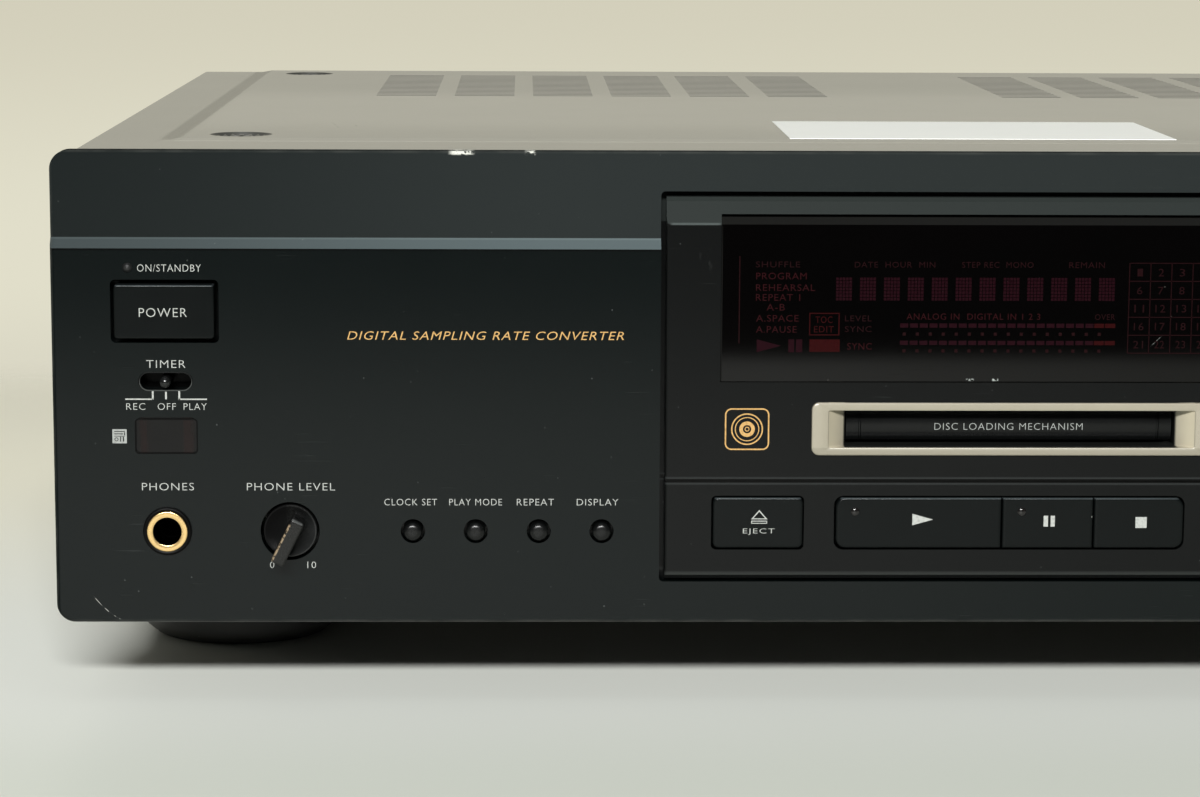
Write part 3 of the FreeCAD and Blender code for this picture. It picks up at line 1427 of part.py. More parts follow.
def transformer():
    """Mains transformer: laminated core, winding and mounting flange."""
    x = core_x
    y = core_y
    wide = sz.transformer_width / 2
    deep = sz.transformer_depth / 2
    flange = block("core_flange", (x - wide - sz.core_flange, x + wide + sz.core_flange),
                   (y - deep, y + deep), (floor_top, floor_top + 2))
    core = block("core", (x - wide, x + wide), (y - deep, y + deep),
                 (floor_top + 2, floor_top + 2 + sz.transformer_height))
    coil = block("coil", (x - wide * 0.62, x + wide * 0.62),
                 (y - deep - sz.coil_overhang, y + deep + sz.coil_overhang),
                 (floor_top + 11, floor_top + sz.transformer_height - 7))
    return keep(join("transformer", [flange, core, coil]))


def main_board():
    """Main board with its chips and connectors."""
    (left, right), (front, back) = board_spans["main_board"]
    body = new_body("main_board")
    pad(body, "top", (board_low, board_top), box_outline((left, right), (front, back)))
    chips = [box_outline((left + x, left + x + w), (front + y, front + y + w))
             for x, y, w in ((16, 16, 20), (50, 20, 26), (92, 18, 14), (20, 60, 14), (60, 62, 20),
                             (100, 56, 22))]
    pad(body, "top", (board_top, board_top + sz.chip_height), *chips)
    return keep(body)


def phono_jacks():
    """Phono and coaxial jacks: a housing inside, and a shell that stands out of the back plate."""
    made = []
    r = sz.phono_radius
    for x, z in phono_places:
        tip = sz.jack_projection + cover_end - rear_front
        made.append(turned("phono_jack", (x, rear_front, z), "back",
                           (0, -sz.phono_body), (r * 1.55, -sz.phono_body), (r * 1.55, 0),
                           (r - 0.4, 0), (r - 0.4, sz.sheet), (r, sz.sheet),
                           (r, tip), (r - 0.65, tip), (r - 0.65, 4),
                           (1.6, 4), (1.6, -6), (0, -6)))
    return keep(group("phono_jacks", made))


def optical_sockets():
    """Square optical sockets, open towards the back."""
    made = []
    half = sz.optical_side / 2
    hole = sz.optical_hole / 2
    for x in optical_xs:
        front = rear_front - 12
        case = block("optical_case", (x - half, x + half), (front, rear_back + 0.8),
                     (optical_level - half, optical_level + half))
        hollow = block("optical_hollow", (x - hole, x + hole), (front + 3, rear_back + 2),
                       (optical_level - hole, optical_level + hole))
        made.append(cut("optical_socket", case, [hollow]))
    return keep(group("optical_sockets", made))


def mains_inlet():
    """Two-pin mains inlet with its pins in a round-ended recess."""
    body = new_body("mains_inlet")
    wide = sz.inlet_width / 2
    tall = sz.inlet_height / 2
    front = rear_front - 18
    back = rear_back + 0.8
    pad(body, "front", (front, back), box_outline((inlet_x - wide, inlet_x + wide),
                                                  (inlet_level - tall, inlet_level + tall)))
    pocket(body, "front", (front + 4, back + 1), stadium(inlet_x, inlet_level, wide - 3.5, tall - 3.8))
    pad(body, "front", (front + 4, back - 3),
        *[circle(inlet_x + 4.3 * side, inlet_level, 1.2) for side in (-1, 1)])
    return keep(body)


def flat_cables():
    """Ribbon cables from the front boards and the mechanism to the main board."""
    (left, right), (front, back) = board_spans["main_board"]
    level = board_top + 3.4
    thick = sz.ribbon_sheet
    turn = front + 8
    edge = sz.frame_half + 8
    span = (edge, edge + sz.ribbon_width)
    first = join("front_ribbon", [
        block("front_run", span, (board_back, turn), (level, level + thick)),
        block("front_drop", span, (turn - thick, turn), (board_top, level))])
    span = (sz.frame_half - sz.ribbon_width - 6, sz.frame_half - 6)
    high = mech_floor + 6
    second = join("mech_ribbon", [
        block("mech_run", span, (mech_back, turn - 6), (high, high + thick)),
        block("mech_drop", span, (turn - 6 - thick, turn - 6), (board_top, high))])
    return keep(group("flat_cables", [first, second]))


fascia()
centre_panel()
display_window()
slot_bezel()
slot_door()
transport_keys()
dot_keys()
power_button()
timer_lever()
level_knob()
round_knob("jog_dial", jog_x, jog_level, sz.jog_radius, sz.knob_projection, 0.8)
round_knob("record_level_knob", record_x, control_level, sz.record_radius, sz.record_proud, 0.6)
round_knob("input_knob", input_x, control_level, sz.input_radius, sz.input_proud, 0.6)
small_front_parts()
control_boards()
key_switches()
rotary_parts()
display_tube()
top_cover()
cover_screws()
paper_label()
feet()
foot_screws()
chassis()
front_frame()
rear_panel()
rear_screws()
mech_frame()
disc_holder()
loading_slider()
toothed_gear("loading_gear", load_gear_x, load_gear_y, mech_floor - sz.motor_height + 2)
turntable()
mech_motors()
optical_sled()
toothed_gear("sled_gear", sled_gear_x, sled_gear_y, mech_floor)
guide_rods()
head_arm()
power_board()
filter_capacitors()
heat_sink()
transformer()
main_board()
phono_jacks()
optical_sockets()
mains_inlet()
flat_cables()

doc.recompute()

for thing in doc.Objects:
    if "Invalid" in thing.State or "Error" in thing.State:
        raise RuntimeError(f"{thing.Label} failed")
    if thing.TypeId == "PartDesign::Pocket" and thing.Shape.Volume >= thing.BaseFeature.Shape.Volume - 1e-6:
        raise RuntimeError(f"{thing.Label} cuts nothing")

os.makedirs("parts", exist_ok=True)
for thing in nodes:
    if thing.Shape.isNull() or not thing.Shape.isValid():
        raise RuntimeError(f"{thing.Label} has no sound shape")
    thing.Shape.exportStep(f"parts/{thing.Label}.step")
print(len(nodes), "sub-parts")
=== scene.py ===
import json
import math

import bmesh
import bpy
import numpy as np
from mathutils import Matrix, Vector

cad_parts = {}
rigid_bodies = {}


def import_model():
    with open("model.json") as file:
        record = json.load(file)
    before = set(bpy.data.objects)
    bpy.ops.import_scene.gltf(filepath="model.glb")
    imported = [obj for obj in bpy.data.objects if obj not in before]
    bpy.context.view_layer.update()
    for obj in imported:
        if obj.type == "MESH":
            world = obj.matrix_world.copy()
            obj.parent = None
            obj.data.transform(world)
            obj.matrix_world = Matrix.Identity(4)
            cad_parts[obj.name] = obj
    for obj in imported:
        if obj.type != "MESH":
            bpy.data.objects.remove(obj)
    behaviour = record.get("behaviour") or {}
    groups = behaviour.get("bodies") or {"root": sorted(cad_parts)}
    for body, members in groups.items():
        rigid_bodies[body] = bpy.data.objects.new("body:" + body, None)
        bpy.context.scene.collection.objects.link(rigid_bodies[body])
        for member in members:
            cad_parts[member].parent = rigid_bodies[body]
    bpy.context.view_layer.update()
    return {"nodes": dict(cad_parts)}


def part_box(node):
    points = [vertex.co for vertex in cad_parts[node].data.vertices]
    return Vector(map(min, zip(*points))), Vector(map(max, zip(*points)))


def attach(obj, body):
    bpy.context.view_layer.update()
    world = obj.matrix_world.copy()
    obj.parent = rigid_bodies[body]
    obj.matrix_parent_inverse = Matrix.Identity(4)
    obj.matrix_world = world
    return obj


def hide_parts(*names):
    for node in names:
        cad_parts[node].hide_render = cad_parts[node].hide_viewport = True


# Minidisc deck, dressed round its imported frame. Places are in millimetres in this script's own
# numbers and become metres when a mesh is made: X to the right, Y from front to back, Z up.

for spare in list(bpy.data.objects):
    bpy.data.objects.remove(spare)
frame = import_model()
MM = 0.001

# Planes and centres that the pieces share with the frame.
FACE = -158.5
PANEL_BACK = -152.5
WINDOW_FRONT = -159.0
CONTROL_Z = 39.5
POWER_X, POWER_Z = -189.75, 89.3
LEVER_Z = 73.5
KEY_LOW, KEY_HIGH = 35.25, 47.65
REAR = 160.3


# ---- shapes: points in millimetres and the faces that skin them ----

def loft(rings, ring_shaped=False):
    """Skin over rings of points: each quad joins a point to the next one in its ring and in the ring
    after. The two end rings are closed with a face each, or joined to each other if ring_shaped."""
    rings = np.asarray(rings, float)
    count, size = rings.shape[:2]
    index = np.arange(count * size).reshape(count, size)
    rows = np.vstack([index, index[:1]]) if ring_shaped else index
    turn = np.roll(rows, -1, axis=1)
    quads = np.stack([rows[:-1], turn[:-1], turn[1:], rows[1:]], axis=-1).reshape(-1, 4)
    faces = quads.tolist()
    if not ring_shaped:
        faces += [index[0][::-1].tolist(), index[-1].tolist()]
    return rings.reshape(-1, 3), faces


def outline(left, right, low, high, radius, steps=8):
    """Rectangle with round corners, as (x, z): a quarter turn of (cos, sin) round each corner's centre."""
    radii = np.broadcast_to(np.maximum(radius, 0.02), (4,))
    turn = np.linspace(0, math.pi / 2, steps)
    corners = ((right, low, -1), (right, high, 0), (left, high, 1), (left, low, 2))
    loops = []
    for (x, z, quarter), r in zip(corners, radii):
        cx = x - r if x == right else x + r
        cz = z - r if z == high else z + r
        angle = turn + quarter * math.pi / 2
        loops.append(np.stack([cx + r * np.cos(angle), cz + r * np.sin(angle)], axis=1))
    return np.concatenate(loops)


def at_depth(loop, y):
    """An (x, z) loop as points on the plane y."""
    return np.stack([loop[:, 0], np.full(len(loop), float(y)), loop[:, 1]], axis=1)


def cushion_edge(edge, steps=7):
    """A quarter round: inset edge*(1 - cos t) at edge*(1 - sin t) behind the front."""
    t = np.linspace(0, math.pi / 2, steps)
    return np.stack([edge * (1 - np.cos(t)), edge * (1 - np.sin(t))], axis=1)


def stacked(box, radius, profile, ring_shaped=False, steps=8):
    """Skin over round-cornered outlines of a box of left, right, low and high: each (inset, y) of the
    profile says how much smaller the outline is on every side, and on which plane it lies."""
    left, right, low, high = box
    return loft([at_depth(outline(left + inset, right - inset, low + inset, high - inset,
                                  np.asarray(radius, float) - inset, steps), y)
                 for inset, y in profile], ring_shaped)


def key_cap(box, radius, front, back, edge):
    """Cap with a quarter round along its front edges: its outline shrinks as it comes forward."""
    rounded = [(inset, front + behind) for inset, behind in cushion_edge(edge)]
    return stacked(box, radius, [(0, back)] + rounded + [(edge * 1.6, front)])


def prism(corners, front, back):
    """Flat plate: a closed (x, z) loop, counter-clockwise from the front, between two depths."""
    loop = np.asarray(corners, float)
    return loft([at_depth(loop, back), at_depth(loop, front)])


def block(left, right, front, back, low, high):
    """Plain box."""
    return prism([(right, low), (right, high), (left, high), (left, low)], front, back)


def tiles(boxes, front, back):
    """Many thin boxes at once: each row of boxes is left, right, low, high."""
    boxes = np.asarray(boxes, float)
    left, right, low, high = boxes.T
    xs = np.stack([right, right, left, left], axis=1)
    zs = np.stack([low, high, high, low], axis=1)
    layers = [np.stack([xs, np.full_like(xs, y), zs], axis=-1) for y in (back, front)]
    points = np.concatenate(layers, axis=1).reshape(-1, 3)
    pattern = np.array([(3, 2, 1, 0), (4, 5, 6, 7), (0, 1, 5, 4), (1, 2, 6, 5), (2, 3, 7, 6), (3, 0, 4, 7)])
    faces = (pattern[None] + 8 * np.arange(len(boxes))[:, None, None]).reshape(-1, 4)
    return points, faces.tolist()


WAYS = {
    # across, up the turn, along
    "front": ((1, 0, 0), (0, 0, 1), (0, -1, 0)),
    "back": ((-1, 0, 0), (0, 0, 1), (0, 1, 0)),
    "up": ((1, 0, 0), (0, 1, 0), (0, 0, 1)),
    "down": ((1, 0, 0), (0, -1, 0), (0, 0, -1)),
    "right": ((0, 1, 0), (0, 0, 1), (1, 0, 0)),
}


def turned(profile, centre, way="front", count=48, ring_shaped=False, flutes=0):
    """Surface of revolution: (radius, height) corners turned about the way's axis. With flutes, the
    third number of a corner says how deep a cosine of that many waves cuts into its radius."""
    profile = np.array([tuple(corner) + (0,) * (3 - len(corner)) for corner in profile], float)
    across, over, along = (np.array(axis, float) for axis in WAYS[way])
    turn = np.linspace(0, 2 * math.pi, count, endpoint=False)
    radius, height, cut = (profile[:, i:i + 1] for i in range(3))
    if flutes:
        radius = radius - cut * (0.5 + 0.5 * np.cos(flutes * turn)) ** 2
    radius = np.broadcast_to(radius, (len(profile), count))[..., None]
    points = (np.array(centre, float) + radius * np.cos(turn)[None, :, None] * across
              + radius * np.sin(turn)[None, :, None] * over + height[..., None] * along)
    return loft(points, ring_shaped)


def round_tip(radius, height, edge):
    """Profile corners of a quarter round that ends a turned piece."""
    return [(radius - edge + edge * math.cos(a), height - edge + edge * math.sin(a))
            for a in np.linspace(0, math.pi / 2, 6)]


RECESS_REACH, RECESS_DEPTH = 0.62, 0.9


def recessed_head(centre, way, radius, height, arm=0.42):
    """Pan head with a cross recess: height of a flat dome, less a cross cut into it, over a polar grid."""
    across, over, along = (np.array(axis, float) for axis in WAYS[way])
    turn = np.linspace(0, 2 * math.pi, 40, endpoint=False)
    share = np.array([1.0, 1.0, 0.94, 0.84, 0.7, 0.6, 0.5, 0.4, 0.3, 0.2, 0.1, 0.0])[:, None]
    lift = np.array([0.0, 0.55, 0.8, 0.93] + [1.0] * 8)[:, None]
    x, y = share * radius * np.cos(turn), share * radius * np.sin(turn)
    near = np.minimum(abs(x), abs(y))
    far = np.maximum(abs(x), abs(y))
    inside = np.clip((arm - near) / 0.15, 0, 1) * np.clip((RECESS_REACH * radius - far) / 0.25, 0, 1)
    up = lift * height - inside * RECESS_DEPTH * (lift >= 1)
    return loft(np.array(centre, float) + x[..., None] * across + y[..., None] * over + up[..., None] * along)


def rod(radius, reach, centre, way, count=16):
    """Plain round bar that starts at its centre and goes the given way."""
    return turned([(0, 0), (radius, 0), (radius, reach), (0, reach)], centre, way, count)


def placed(name, data):
    """New object of the data, linked to the scene."""
    thing = bpy.data.objects.new(name, data)
    bpy.context.scene.collection.objects.link(thing)
    return thing


# ---- print: thin raised shapes that reach a little under their plane ----

UNDER, OVER = 0.02, 0.03
LETTER_SPACING = 1.12


def lettering(text, x, z, y, slant=0, weight=0, thick=OVER, facing="front"):
    """Raised print: the text's own box is stretched to the spans x and z on the plane y."""
    curve = bpy.data.curves.new("print", "FONT")
    curve.body = text
    curve.extrude = 0.1
    curve.shear = slant
    curve.offset = weight
    curve.space_character = LETTER_SPACING
    curve.resolution_u = 3
    holder = placed("print", curve)
    view = bpy.context.evaluated_depsgraph_get()
    flat = bpy.data.meshes.new_from_object(holder.evaluated_get(view))
    points = np.zeros(len(flat.vertices) * 3)
    flat.vertices.foreach_get("co", points)
    points = points.reshape(-1, 3)
    faces = [list(face.vertices) for face in flat.polygons]
    bpy.data.objects.remove(holder)
    bpy.data.meshes.remove(flat)
    share = (points - points.min(0)) / (points.max(0) - points.min(0))
    if facing == "back":
        x, thick = x[::-1], -thick
    return np.stack([x[0] + share[:, 0] * (x[1] - x[0]), y - share[:, 2] * thick,
                     z[0] + share[:, 1] * (z[1] - z[0])], axis=1), faces


def words_of(rows):
    """Words and their two spans: each row has its low and high first, then words with left and right."""
    return [(text, (left, right), height) for height, *row in rows for text, left, right in row]


def rows_of(rows, y, thick=OVER, weight=-0.012):
    """Print on the front, drawn in a little from the spans that its rows give."""
    return [lettering(text, (x[0] + 0.2, x[1] - 0.05), (z[0] + 0.2, z[1] - 0.1), y, weight=weight,
                      thick=thick) for text, x, z in words_of(rows)]


def inked(boxes, y):
    """Printed marks on the plane y."""
    return tiles(boxes, y - OVER, y + UNDER)


def spot(radius, place, count, inner=0):
    """Printed disc, or a ring where it has an inner radius."""
    corners = [(inner, -UNDER), (radius, -UNDER), (radius, OVER), (inner, OVER)]
    return turned(corners, place, "front", count, inner > 0)


def piece(name, shells, finish, body="case", replaces=(), sharp=38):
    """Makes one object of its shells, merged and facing outwards, that rides on a body."""
    points = np.concatenate([shell[0] for shell in shells]) * MM
    faces = []
    start = 0
    for shell_points, shell_faces in shells:
        faces += [[corner + start for corner in face] for face in shell_faces]
        start += len(shell_points)
    mesh = bpy.data.meshes.new(name)
    mesh.from_pydata(points, [], faces)
    work = bmesh.new()
    work.from_mesh(mesh)
    bmesh.ops.remove_doubles(work, verts=work.verts, dist=1e-7)
    bmesh.ops.dissolve_degenerate(work, edges=work.edges, dist=1e-7)
    bmesh.ops.recalc_face_normals(work, faces=work.faces)
    work.to_mesh(mesh)
    work.free()
    mesh.polygons.foreach_set("use_smooth", np.ones(len(mesh.polygons), bool))
    mesh.set_sharp_from_angle(angle=math.radians(sharp))
    mesh.materials.append(finish.material)
    thing = placed(name, mesh)
    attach(thing, body)
    if replaces:
        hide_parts(*replaces)


# ---- finishes ----

def tone(red, green, blue):
    """A colour seen as 0 to 255, as linear light with full alpha."""
    seen = np.array([red, green, blue]) / 255
    light = np.where(seen <= 0.04045, seen / 12.92, ((seen + 0.055) / 1.055) ** 2.4)
    return (*light.tolist(), 1.0)


def feed(tree, slot, value):
    """Sets a socket to a value, or links it to a signal or another socket."""
    if isinstance(value, Signal):
        value = value.socket
    if isinstance(value, bpy.types.NodeSocket):
        tree.links.new(value, slot)
    else:
        slot.default_value = value


def add_node(tree, kind, **inputs):
    """New shader node with its inputs fed; an underline in an input's name stands for a space."""
    made = tree.nodes.new("ShaderNode" + kind)
    for name, value in inputs.items():
        feed(tree, made.inputs[name.replace("_", " ")], value)
    return made


def blend(tree, low, high, share):
    """A colour from low to high as share goes from 0 to 1. Three numbers are a colour as seen, from 0
    to 255, four are linear light, and either end may be a signal."""
    made = add_node(tree, "Mix")
    made.data_type = "RGBA"
    feed(tree, made.inputs["Factor"], share)
    for slot, colour in ((made.inputs[6], low), (made.inputs[7], high)):
        feed(tree, slot, tone(*colour) if isinstance(colour, tuple) and len(colour) == 3 else colour)
    return Signal(tree, made.outputs[2])


class Signal:
    """A number that varies over a surface; arithmetic on it adds Math nodes to its material."""

    def __init__(self, tree, socket):
        self.tree = tree
        self.socket = socket

    def math(self, operation, *others):
        made = add_node(self.tree, "Math")
        made.operation = operation
        for slot, value in zip(made.inputs, (self,) + others):
            feed(self.tree, slot, value)
        return Signal(self.tree, made.outputs[0])

    def __add__(self, other):
        return self.math("ADD", other)

    def __sub__(self, other):
        return self.math("SUBTRACT", other)

    def __mul__(self, other):
        return self.math("MULTIPLY", other)

    def __or__(self, other):
        """The larger of the two."""
        return self.math("MAXIMUM", other)

    def away(self, middle):
        """Distance from a middle value."""
        return (self - middle).math("ABSOLUTE")

    def rise(self, low, high):
        """0 below low, 1 above high, smooth between them; falls where low is above high."""
        made = add_node(self.tree, "MapRange", Value=self, From_Min=min(low, high), From_Max=max(low, high),
                        To_Min=float(low > high), To_Max=float(low <= high))
        made.interpolation_type = "SMOOTHSTEP"
        return Signal(self.tree, made.outputs["Result"])

    def span(self, low, high):
        """From low to high as the signal goes from 0 to 1."""
        return self * (high - low) + low


class Finish:
    """A material on object coordinates, with x, y and z in millimetres."""

    def __init__(self, name, roughness, metallic=0, specular=0.5, coat=0):
        self.material = bpy.data.materials.new(name)
        self.material.use_nodes = True
        self.tree = self.material.node_tree
        self.shader = self.tree.nodes["Principled BSDF"]
        self.polish(roughness)
        self.shine(specular)
        for socket, value in (("Metallic", metallic), ("Coat Weight", coat), ("Coat Roughness", 0.1)):
            self.set(socket, value)
        self.place = add_node(self.tree, "TexCoord").outputs["Object"]
        split = add_node(self.tree, "SeparateXYZ", Vector=self.place)
        self.x, self.y, self.z = (Signal(self.tree, out) * 1000 for out in split.outputs)

    def set(self, socket, value):
        feed(self.tree, self.shader.inputs[socket], value)

    def polish(self, roughness):
        self.set("Roughness", roughness)

    def shine(self, specular):
        self.set("Specular IOR Level", specular)

    def mapped(self, location, scale):
        return add_node(self.tree, "Mapping", Vector=self.place, Location=location, Scale=scale).outputs[0]

    def noise(self, size, stretch=(1, 1, 1), detail=3, roughness=0.5, shift=0):
        """Cloudy noise about size millimetres across, longer along the axes that stretch names."""
        place = self.mapped((shift, shift * 0.7, shift * 1.3), [1000 / size / share for share in stretch])
        made = add_node(self.tree, "TexNoise", Vector=place, Scale=1, Detail=detail, Roughness=roughness)
        return Signal(self.tree, made.outputs["Fac"])

    def specks(self, size, share):
        """Sparse small dots: 1 inside the cells' centres where a cell's own random number is high."""
        cells = add_node(self.tree, "TexVoronoi", Vector=self.mapped((0, 0, 0), [1000 / size] * 3), Scale=1)
        near = Signal(self.tree, cells.outputs["Distance"]).rise(0.16, 0.08)
        pick = add_node(self.tree, "SeparateColor", Color=cells.outputs["Color"])
        return near * Signal(self.tree, pick.outputs[0]).math("GREATER_THAN", 1 - share)

    def stroke(self, start, end, half):
        """1 near the straight line from start to end, as seen from above."""
        (a, b), (c, d) = start, end
        length = math.hypot(c - a, d - b)
        ux, uy = (c - a) / length, (d - b) / length
        x, y = self.x - (a + c) / 2, self.y - (b + d) / 2
        along = x * ux + y * uy
        beside = y * ux - x * uy
        return beside.away(0).rise(half, half * 0.4) * along.away(0).rise(length / 2, length / 2 - half)

    def mix(self, low, high, share):
        return blend(self.tree, low, high, share)

    def paint(self, colour):
        """Shows a colour, which is then the ground for what is laid over it."""
        self.ground = colour
        self.set("Base Color", colour)

    def over(self, colour, share):
        """Lays a colour over the ground as far as share says."""
        self.paint(self.mix(self.ground, colour, share))

    def relief(self, height, depth):
        """Bump whose signal of 0 to 1 stands for depth millimetres."""
        made = add_node(self.tree, "Bump", Strength=1, Distance=depth * MM, Height=height)
        self.set("Normal", made.outputs[0])


def satin(name, dark, light, roughness, grain=0.35, depth=0.004, cloud=45, specular=0.5, dust=0, coat=0,
          stretch=(1, 1, 1)):
    """Common ground of the finishes: cloudy colour, fine grain in relief, and varied roughness."""
    made = Finish(name, roughness, 0, specular, coat)
    fine = made.noise(grain, stretch, 4, 0.6)
    broad = made.noise(cloud, detail=4, roughness=0.6, shift=3.1)
    made.paint(made.mix(dark, light, fine * 0.45 + broad * 0.55))
    if dust:
        made.over((150, 152, 146), made.specks(1.7, dust) * 0.5)
    made.polish((fine * 0.5 + broad * 0.5).span(roughness - 0.07, roughness + 0.09))
    made.relief(fine, depth)
    return made


def anodised(name, dark, light, band=False):
    """Black anodised aluminium with a hairline grain from side to side and small worn places."""
    made = Finish(name, 0.2, specular=0.17)
    hair = made.noise(0.22, (60, 3, 1), 3, 0.6)
    coarse = made.noise(0.9, (40, 3, 1), 2, 0.5, 7)
    broad = made.noise(70, shift=2)
    made.paint(made.mix(dark, light, hair * 0.35 + coarse * 0.2 + broad * 0.45))
    if band:
        # Above the lower face: a painted shadow line, the sloped strip painted pale as a painted reflection
        # of the lamp above, a painted highlight along its top, and the recessed band; all but the line are
        # lighter towards the middle.
        made.over((3, 4, 4), made.z.rise(102.7, 103.2))
        inward = made.x.rise(-224, -90)
        for outer, inner, low, high in (((52, 59, 60), (74, 84, 86), 103.3, 103.42),
                                        ((62, 70, 71), (86, 97, 98), 105.15, 105.5),
                                        ((23, 27, 27), (35, 39, 39), 105.55, 105.75)):
            made.over(made.mix(outer, inner, inward), made.z.rise(low, high))
    made.over((120, 125, 123), made.specks(1.5, 0.04) * made.noise(0.5).rise(0.45, 0.6) * 0.3)
    lines = made.noise(0.3, (40, 1, 1), 2, 0.4, 11).rise(0.68, 0.76) * made.noise(16, shift=5).rise(0.55, 0.7)
    made.over((60, 63, 62), lines * 0.2)
    made.polish((hair * 0.5 + broad * 0.5).span(0.16, 0.24))
    made.relief(hair * 0.7 + coarse * 0.3, 0.003)
    return made


def fascia_finish():
    """The fascia's black with edges painted lighter, as wear and as a painted highlight, chips along the top
    and one curved scratch.
    """
    made = anodised("fascia_anodised", (5, 9, 9), (10, 15, 15), band=True)
    ragged = made.noise(1.3, detail=5, roughness=0.7, shift=9)
    # Chips along the top edge: short stretches of x where the finish is knocked off the corner.
    chips = made.x.away(-123.7).rise(3.2, 1.6)
    for middle, reach in ((-108.4, 1.4), (64, 1.6)):
        chips |= made.x.away(middle).rise(reach, reach * 0.5)
    chips *= made.z.rise(124, 124.5)
    chips *= ragged.rise(0.44, 0.52)
    # One curved scratch in the lower left corner.
    across = made.x + 203.65
    sweep = made.z - 21.3 + across * 0.88 - across * across * 0.065
    scratch = sweep.away(0).rise(0.12, 0.04) * across.away(0).rise(3.2, 2.4) * ragged.rise(0.42, 0.54)
    # The outer edges are painted lighter, unevenly: part wear and part a painted highlight where they catch
    # the light.
    rim = made.x.away(0).rise(214.2, 214.9) | made.z.rise(19.4, 18.7) | made.z.rise(124.3, 124.9)
    rubbed_and_lit_rim = rim * made.noise(6, shift=4).rise(0.3, 0.7).span(0.3, 1)
    # Round edges don't shine, so that the backdrop isn't seen in them; the outermost line is painted lighter,
    # as wear and as a painted highlight.
    made.shine((made.x.away(0).rise(214, 214.4) | made.z.rise(124, 124.3)).span(0.17, 0))
    made.over((76, 77, 74), rubbed_and_lit_rim * 0.35)
    made.over((203, 204, 196), chips | scratch * 0.6)
    return made


def centre_finish():
    """The centre panel's own black; its sloped top is painted paler as a painted highlight and is duller, so
    that the lamp doesn't flare in it.
    """
    made = anodised("centre_anodised", (10, 11, 11), (16, 17, 17))
    # The sloped top is painted paler: a painted highlight for the light that falls on it from above.
    slope = made.z.rise(109, 109.3)
    made.over((39, 43, 42), slope)
    # Painted light and shade at the edges: a painted highlight beside the groove and painted shade in it, a
    # painted reflection of the table along the foot, and a painted highlight at the slope's lower bend.
    groove = made.z.away(51.05)
    made.over((35, 37, 37), groove.rise(0.4, 0.5) * groove.rise(1, 0.75))
    made.over((1, 1, 1), groove.rise(0.42, 0.38))
    made.over((37, 39, 38), made.z.rise(30.5, 29.8))
    made.over((20, 21, 21), made.z.rise(29.5, 29.3))
    made.over((64, 70, 69), made.x.away(-71.5).rise(6, 5) * made.z.away(109.1).rise(0.35, 0.15))
    smudge = made.x.away(-69.4).rise(2, 0.5) * made.z.away(101).rise(4.5, 1.5)
    made.over((60, 62, 60), smudge * made.noise(1.2, (1, 1, 3), 4, shift=8).rise(0.5, 0.75) * 0.6)
    made.shine(slope.span(0.12, 0.03))
    return made


def cover_finish():
    """Dark satin paint under a coat that shines pale at a low angle, with a few scratches and rubs."""
    made = satin("cover_paint", (86, 85, 79), (97, 96, 89), 0.3, 0.5, 0.008, 80, 0.8, coat=0.7)
    made.set("Coat Roughness", 0.24)
    made.over((80, 79, 73), made.noise(34, detail=5, shift=6).rise(0.55, 0.78) * 0.4)
    aside = made.x.away(0)
    slope = aside.rise(189.2, 190.2) * aside.rise(195, 193.8) * made.y.rise(-122, -116)
    strip = aside.rise(193.8, 195)
    middle = made.y.rise(-112, -60) * made.y.rise(75, 20) * aside.rise(190, 188)
    made.set("Coat Weight", slope * -0.5 + middle * 0.3 + 0.7)
    # The slopes beside the plateau are painted darker as painted shade, and the strips outside them a little
    # darker.
    made.over((76, 74, 66), (slope * 0.9 + strip * 0.2).math("MINIMUM", 1))
    scratch = made.stroke((-157.4, -68), (-154.8, -86), 0.35)
    for start, end in (((-151.2, -76), (-150.4, -83)), ((-27, 7), (-24.4, -3))):
        scratch |= made.stroke(start, end, 0.3)
    scratch *= made.noise(3, detail=4, shift=1.5).rise(0.3, 0.55)
    made.over((30, 30, 29), scratch * 0.7)
    made.shine(scratch.span(0.8, 0.35))
    front_edge = made.y.rise(-123.8, -123.2) * made.y.rise(-118.2, -118.8)
    made.over((128, 126, 117), front_edge * aside.rise(194, 190))
    rub = made.noise(0.8, (1, 18, 1), 2, 0.5, 8).rise(0.7, 0.76) * made.noise(24, shift=2.2).rise(0.6, 0.72)
    made.over((126, 124, 116), rub * 0.5)
    return made


def champagne_finish():
    """Pale gold anodised metal with fine grain; a darker lower edge, painted highlights on the cheeks and a
    throat painted black as painted shade.
    """
    made = Finish("champagne_anodised", 0.3, metallic=0.12)
    fine = made.noise(0.3, detail=4, roughness=0.6)
    broad = made.noise(18, shift=3)
    made.paint(made.mix((146, 140, 125), (154, 148, 132), fine * 0.4 + broad * 0.6))
    made.over((136, 131, 116), made.z.rise(58.9, 58.6))
    # The slanted cheeks are painted brighter towards the front as a painted highlight, and the throat behind
    # the door's edges is painted black as painted shade.
    aside = made.x.away(0)
    made.over((190, 182, 160), aside.rise(36.5, 41) * aside.rise(41.4, 41.15) * made.y.rise(-159.4, -159.2))
    made.over((26, 27, 26), made.y.rise(-159.1, -158.9) * aside.rise(37.9, 37.4))
    made.polish((fine * 0.5 + broad * 0.5).span(0.26, 0.36))
    made.relief(fine, 0.003)
    return made


